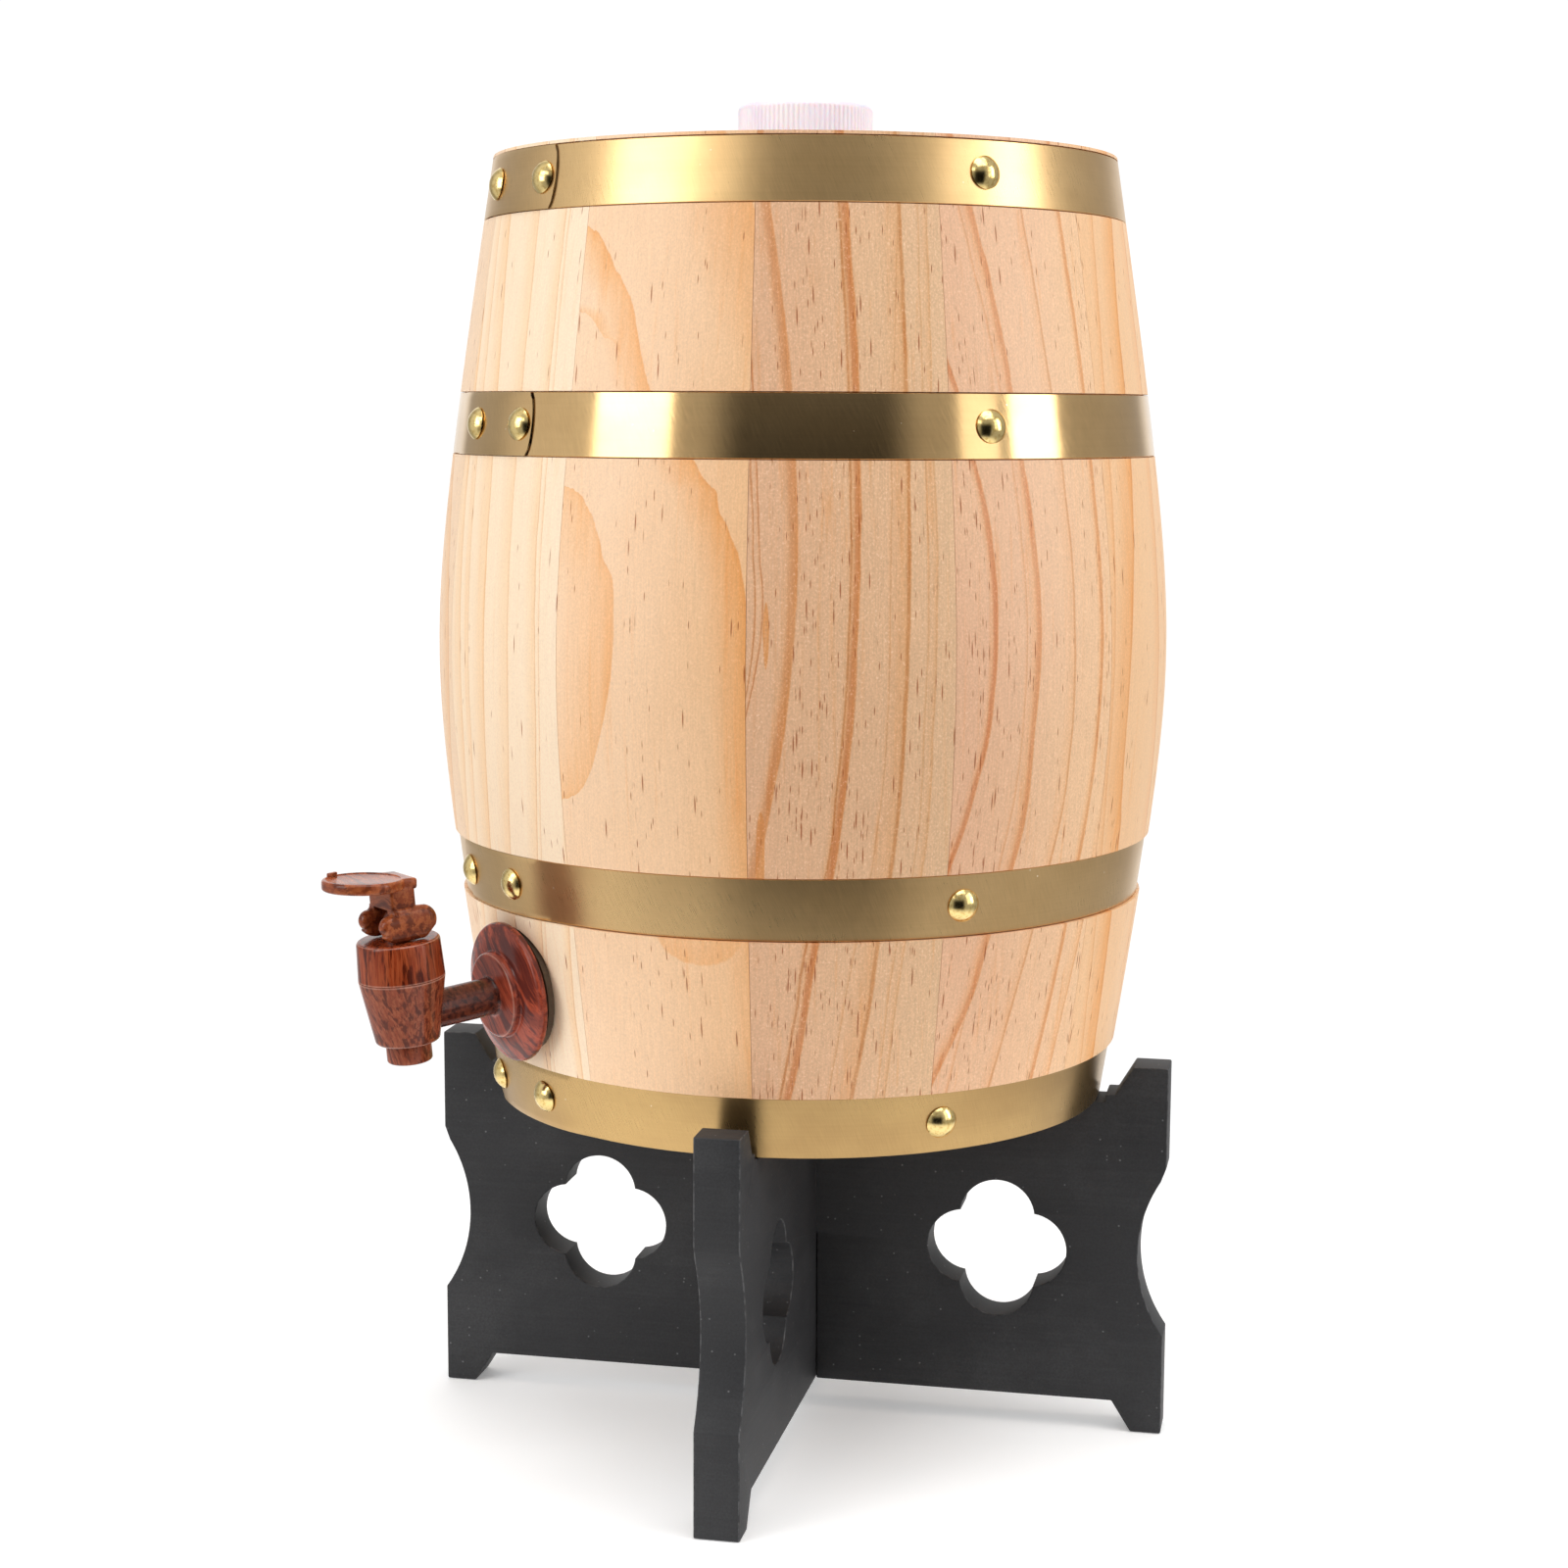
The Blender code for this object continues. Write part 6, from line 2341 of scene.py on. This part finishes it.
    def nib(self) -> Mesh:
        """Cuts the small raised tab on the pad's rim.

        Returns:
            The closed mesh.
        """
        angle = -radians(self.nib_deg)
        reach = self.pad_radius - self.nib_setback
        (back, front), turn = self.nib_depth, self.nib_half_turn
        outline = [
            (self.pad_centre + (reach + out) * cos(angle + side), (reach + out) * sin(angle + side))
            for out, side in ((back, -turn), (front, -turn), (front, turn), (back, turn))
        ]
        rise = self.pad_thickness / 2 + self.nib_rise
        place = self.pad_plane() @ raised(rise)
        return plate("nib", [outline], self.nib_thickness, self.nib_edge, place)

    def build(self) -> None:
        """Makes and dresses the lever."""
        finish = RosewoodPrint(
            "rosewood_lever", Direction.LEVEL, paint(140, 68, 38), paint(96, 42, 22),
            paint(176, 98, 56), fineness=0.6,
        ).material()
        mesh = joined("press_lever", [*self.cheeks(), self.block(), self.pad(), self.nib()])
        put("press_lever", mesh, [finish], "lever", ["tap_lever"])


# Stand


@dataclass
class Stand:
    """The two crossed boards, halved into each other, each with two four-lobed cut-outs."""

    thickness: float = 0.015
    height: float = 0.130
    turn_deg: float = 43.0
    arm: float = 0.129938671
    rest_radius: float = 0.108438671
    rest_height: float = 0.1174
    horn_rise: float = 0.010
    horn_width: float = 0.012
    horn_slant: float = 0.006
    foot_height: float = 0.0107
    foot_width: float = 0.0106
    foot_slant: float = 0.0067
    waist_low: float = 0.035
    waist_high: float = 0.090
    waist_depth: float = 0.0083
    chamfer: float = 0.0018
    chamfer_rise: float = 0.005
    cutout_setback: float = 0.0582
    cutout_height: float = 0.063
    lobe_radius: float = 0.013
    lobe_offset: float = 0.0113
    edge: float = 0.00045
    corner: float = 0.0007
    worn_lean: Point = (0.08, 0.97)

    def sagged(self, first: Point, last: Point, sag: float, steps: int) -> Profile:
        """Draws an arc that bows to the left of the way between two points.

        Args:
            first: Its start.
            last: Its end.
            sag: How far it bows.
            steps: Number of pieces in it.

        Returns:
            Its points.
        """
        across, along = last[0] - first[0], last[1] - first[1]
        chord = hypot(across, along)
        radius = (chord * chord / 4 + sag * sag) / (2 * sag)
        left = (-along / chord, across / chord)
        pull = radius - sag
        middle = ((first[0] + last[0]) / 2, (first[1] + last[1]) / 2)
        centre = (middle[0] - left[0] * pull, middle[1] - left[1] * pull)
        start = atan2(first[1] - centre[1], first[0] - centre[0])
        end = atan2(last[1] - centre[1], last[0] - centre[0])
        while end > start:
            end -= 2 * pi
        return arc(centre, radius, start, end, steps)

    def half(self) -> Profile:
        """Draws the right half of a board, from the arch round the foot and the horn to the rest.

        Returns:
            Its points.
        """
        end = self.arm
        low, high = (end, self.waist_low), (end - self.chamfer, self.waist_high)
        waist = self.sagged(low, high, self.waist_depth, 30)
        notch = self.height - self.horn_rise
        inner = end - self.horn_width
        foot = end - self.foot_width
        return [
            (foot - self.foot_slant, self.foot_height), (foot, 0.0), (end, 0.0), *waist,
            (end, self.waist_high + self.chamfer_rise), (end, self.height), (inner, self.height),
            (inner - self.horn_slant, notch), (self.rest_radius, notch),
            (self.rest_radius, self.rest_height),
        ]

    def cutout(self, centre: float) -> Profile:
        """Draws a cut-out of four round lobes.

        Args:
            centre: Its middle across the board.

        Returns:
            Its points.
        """
        offset, radius = self.lobe_offset, self.lobe_radius
        diagonal = (offset + sqrt(2 * radius**2 - offset**2)) / 2
        half = atan2(diagonal, diagonal - offset)
        points: Profile = []
        for quarter in range(4):
            facing = quarter * pi / 2
            middle = (centre + offset * cos(facing), self.cutout_height + offset * sin(facing))
            points += arc(middle, radius, facing - half, facing + half, 24)[:-1]
        return points

    def board(self, name: str, turn_deg: float, slot_from_top: bool) -> Mesh:
        """One board.

        Args:
            name: The mesh's name.
            turn_deg: Its azimuth.
            slot_from_top: Whether its slot is open above, or below.

        Returns:
            The closed mesh, with its rounded edges marked as worn.
        """
        half = self.half()
        mirrored = [(-across, up) for across, up in reversed(half)]
        slot = self.thickness / 2 + GAP
        crossing = (self.rest_height + self.foot_height) / 2
        if slot_from_top:
            mouth, end = self.rest_height, crossing - GAP / 2
            outline = [*half, (slot, mouth), (slot, end), (-slot, end), (-slot, mouth), *mirrored]
        else:
            mouth, end = self.foot_height, crossing + GAP / 2
            outline = [*half, *mirrored, (-slot, mouth), (-slot, end), (slot, end), (slot, mouth)]
        reach = self.arm - self.cutout_setback
        rounded = eased(outline, self.corner, 3)
        outlines = [rounded, self.cutout(reach), self.cutout(-reach)]
        place = ON_AXIS @ standing(angle_of(turn_deg))
        mesh = plate(name, outlines, self.thickness, self.edge, place)
        face_way = place.to_3x3() @ Vector((0.0, 0.0, 1.0))
        marks = mesh.attributes.new(WEAR_AND_HIGHLIGHT_EDGE, "FLOAT", "CORNER")
        least, most = self.worn_lean
        for face in mesh.polygons:
            worn = 1.0 if least < abs(face.normal.dot(face_way)) < most else 0.0
            for corner in face.loop_indices:
                marks.data[corner].value = worn
        return mesh

    def build(self) -> None:
        """Makes and dresses both boards."""
        for node, turn_deg, from_top in (
            ("stand_board_lower", self.turn_deg, True),
            ("stand_board_upper", self.turn_deg + 90.0, False),
        ):
            finish = BlackPaint(f"black_paint_{node[-5:]}", turn_deg).material()
            mesh = self.board(node, turn_deg, from_top)
            put(f"black_{node[6:]}", mesh, [finish], "stand", [node])


# Studio


@dataclass(frozen=True)
class Softbox:
    """A soft light that faces the barrel; its azimuth runs from the camera to its right."""

    name: str
    azimuth_deg: float
    height: float
    distance: float
    size: tuple[float, float]
    power: float


@dataclass
class Studio:
    """The floor, the lights and the camera."""

    azimuth_deg: float = 54.43
    distance: float = 0.95365
    camera_height: float = 0.35234
    yaw_deg: float = -0.377
    pitch_deg: float = 7.82
    roll_deg: float = 0.248
    lens: float = 63.25
    rise: float = 0.0033
    sensor: float = 36.0
    nearest: float = 0.01
    floor_reach: float = 6.0
    floor_drop: float = 0.0002
    aim: Place = (0.0, AXIS_Y, 0.25)
    boxes: tuple[Softbox, ...] = (
        Softbox("left_box", -55.0, 0.75, 1.5, (0.7, 1.2), 9.2),
        Softbox("high_left_box", -33.0, 1.17, 1.4, (0.6, 0.4), 1.5),
        Softbox("right_box", 77.0, 0.7, 1.5, (0.5, 1.2), 8.2),
        Softbox("dim_right_box", 56.0, 0.7, 1.5, (0.36, 1.2), 1.9),
        Softbox("top_box", 24.0, 1.7, 0.5, (1.2, 1.2), 12.0),
    )

    DARK_CORNER_DEG = 3.0
    BRIGHT_SIDE_DEG = -84.0
    FAR_WALL_DEG = 180.0
    SEEN_WHITE = 1.05
    WALL_LIGHT = 0.44
    CEILING_LIGHT = 0.2
    SIDE_LIGHT = 0.3
    FAR_LIGHT = 0.6

    def camera(self) -> None:
        """Puts the camera where the photograph was taken from."""
        yaw, pitch, roll = radians(self.yaw_deg), radians(self.pitch_deg), radians(self.roll_deg)
        ahead = Vector((sin(yaw) * cos(pitch), cos(yaw) * cos(pitch), -sin(pitch)))
        right = Vector((cos(yaw), -sin(yaw), 0.0))
        up = right.cross(ahead)
        level_right = right * cos(roll) + up * sin(roll)
        level_up = up * cos(roll) - right * sin(roll)
        basis = Matrix((level_right, level_up, -ahead)).transposed().to_4x4()
        turn = ON_AXIS @ Matrix.Rotation(radians(self.azimuth_deg), 4, "Z")
        data = bpy.data.cameras.new("camera")
        data.lens = self.lens
        data.sensor_width = self.sensor
        data.shift_y = self.rise
        data.clip_start = self.nearest
        camera = linked("camera", data)
        stand = Matrix.Translation((0.0, -self.distance, self.camera_height))
        camera.matrix_world = turn @ stand @ basis
        bpy.context.scene.camera = camera

    def floor(self) -> None:
        """The pale floor under the stand's feet."""
        reach, level = self.floor_reach, -self.floor_drop
        ways = ((-1, -1), (1, -1), (1, 1), (-1, 1))
        mesh = meshed("floor", [(reach * x, reach * y, level) for x, y in ways], [(0, 1, 2, 3)])
        mesh.materials.append(PaleFloor().material())
        floor = linked("floor", mesh)

    def lights(self) -> None:
        """The softboxes."""
        for box in self.boxes:
            data = bpy.data.lights.new(box.name, "AREA")
            data.shape = "RECTANGLE"
            data.size, data.size_y = box.size
            data.energy = box.power
            light = linked(box.name, data)
            angle = angle_of(self.azimuth_deg + box.azimuth_deg)
            light.location = around(box.distance, angle, box.height)
            way = Vector(self.aim) - light.location
            light.rotation_euler = way.to_track_quat("-Z", "Y").to_euler()

    def towards(self, across: Value, along: Value, azimuth_deg: float) -> Value:
        """1 where a level way points towards an azimuth from the camera, -1 opposite."""
        angle = angle_of(self.azimuth_deg + azimuth_deg)
        return across * cos(angle) + along * sin(angle)

    def room(self) -> None:
        """The bright room, with the dark corner behind the camera that polished metal shows."""
        world = bpy.data.worlds.new("studio")
        bpy.context.scene.world = world
        world.use_nodes = True
        tree = Tree(world.node_tree)
        background = world.node_tree.nodes["Background"]
        across, along, up = tree.split(tree.add("ShaderNodeTexCoord").outputs["Generated"])
        level = (across * across + along * along).root().most(0.001)
        dark = self.towards(across / level, along / level, self.DARK_CORNER_DEG).fade(0.80, 0.93)
        dark = dark * (1.0 - up.fade(0.15, 0.5) * 0.75)
        side = self.towards(across / level, along / level, self.BRIGHT_SIDE_DEG).fade(0.82, 0.98)
        behind = self.towards(across / level, along / level, self.FAR_WALL_DEG).fade(0.78, 0.92)
        walls = self.WALL_LIGHT + up.fade(0.0, 1.0) * self.CEILING_LIGHT
        glow = (walls + side * self.SIDE_LIGHT + behind * self.FAR_LIGHT) * (1.0 - dark)
        seen = Value(tree, tree.add("ShaderNodeLightPath").outputs["Is Camera Ray"])
        tree.feed(background.inputs["Color"], (1.0, 1.0, 1.0, 1.0))
        tree.feed(background.inputs["Strength"], glow + seen * (self.SEEN_WHITE - glow))

    def build(self) -> None:
        """Sets up the whole studio."""
        bpy.context.scene.view_settings.view_transform = "Standard"
        self.camera()
        self.floor()
        self.lights()
        self.room()


def main() -> None:
    """Builds the studio and every part of the object, in order."""
    logging.basicConfig(level=logging.INFO, format="%(message)s")
    Studio().build()
    tree = wall_tree()
    Staves(tree).build()
    Hoops(tree).build()
    Rivets().build()
    EndsAndTank().build()
    NeckAndCap().build()
    Tap().build()
    Lever().build()
    Stand().build()


if __name__ == "__main__":
    main()
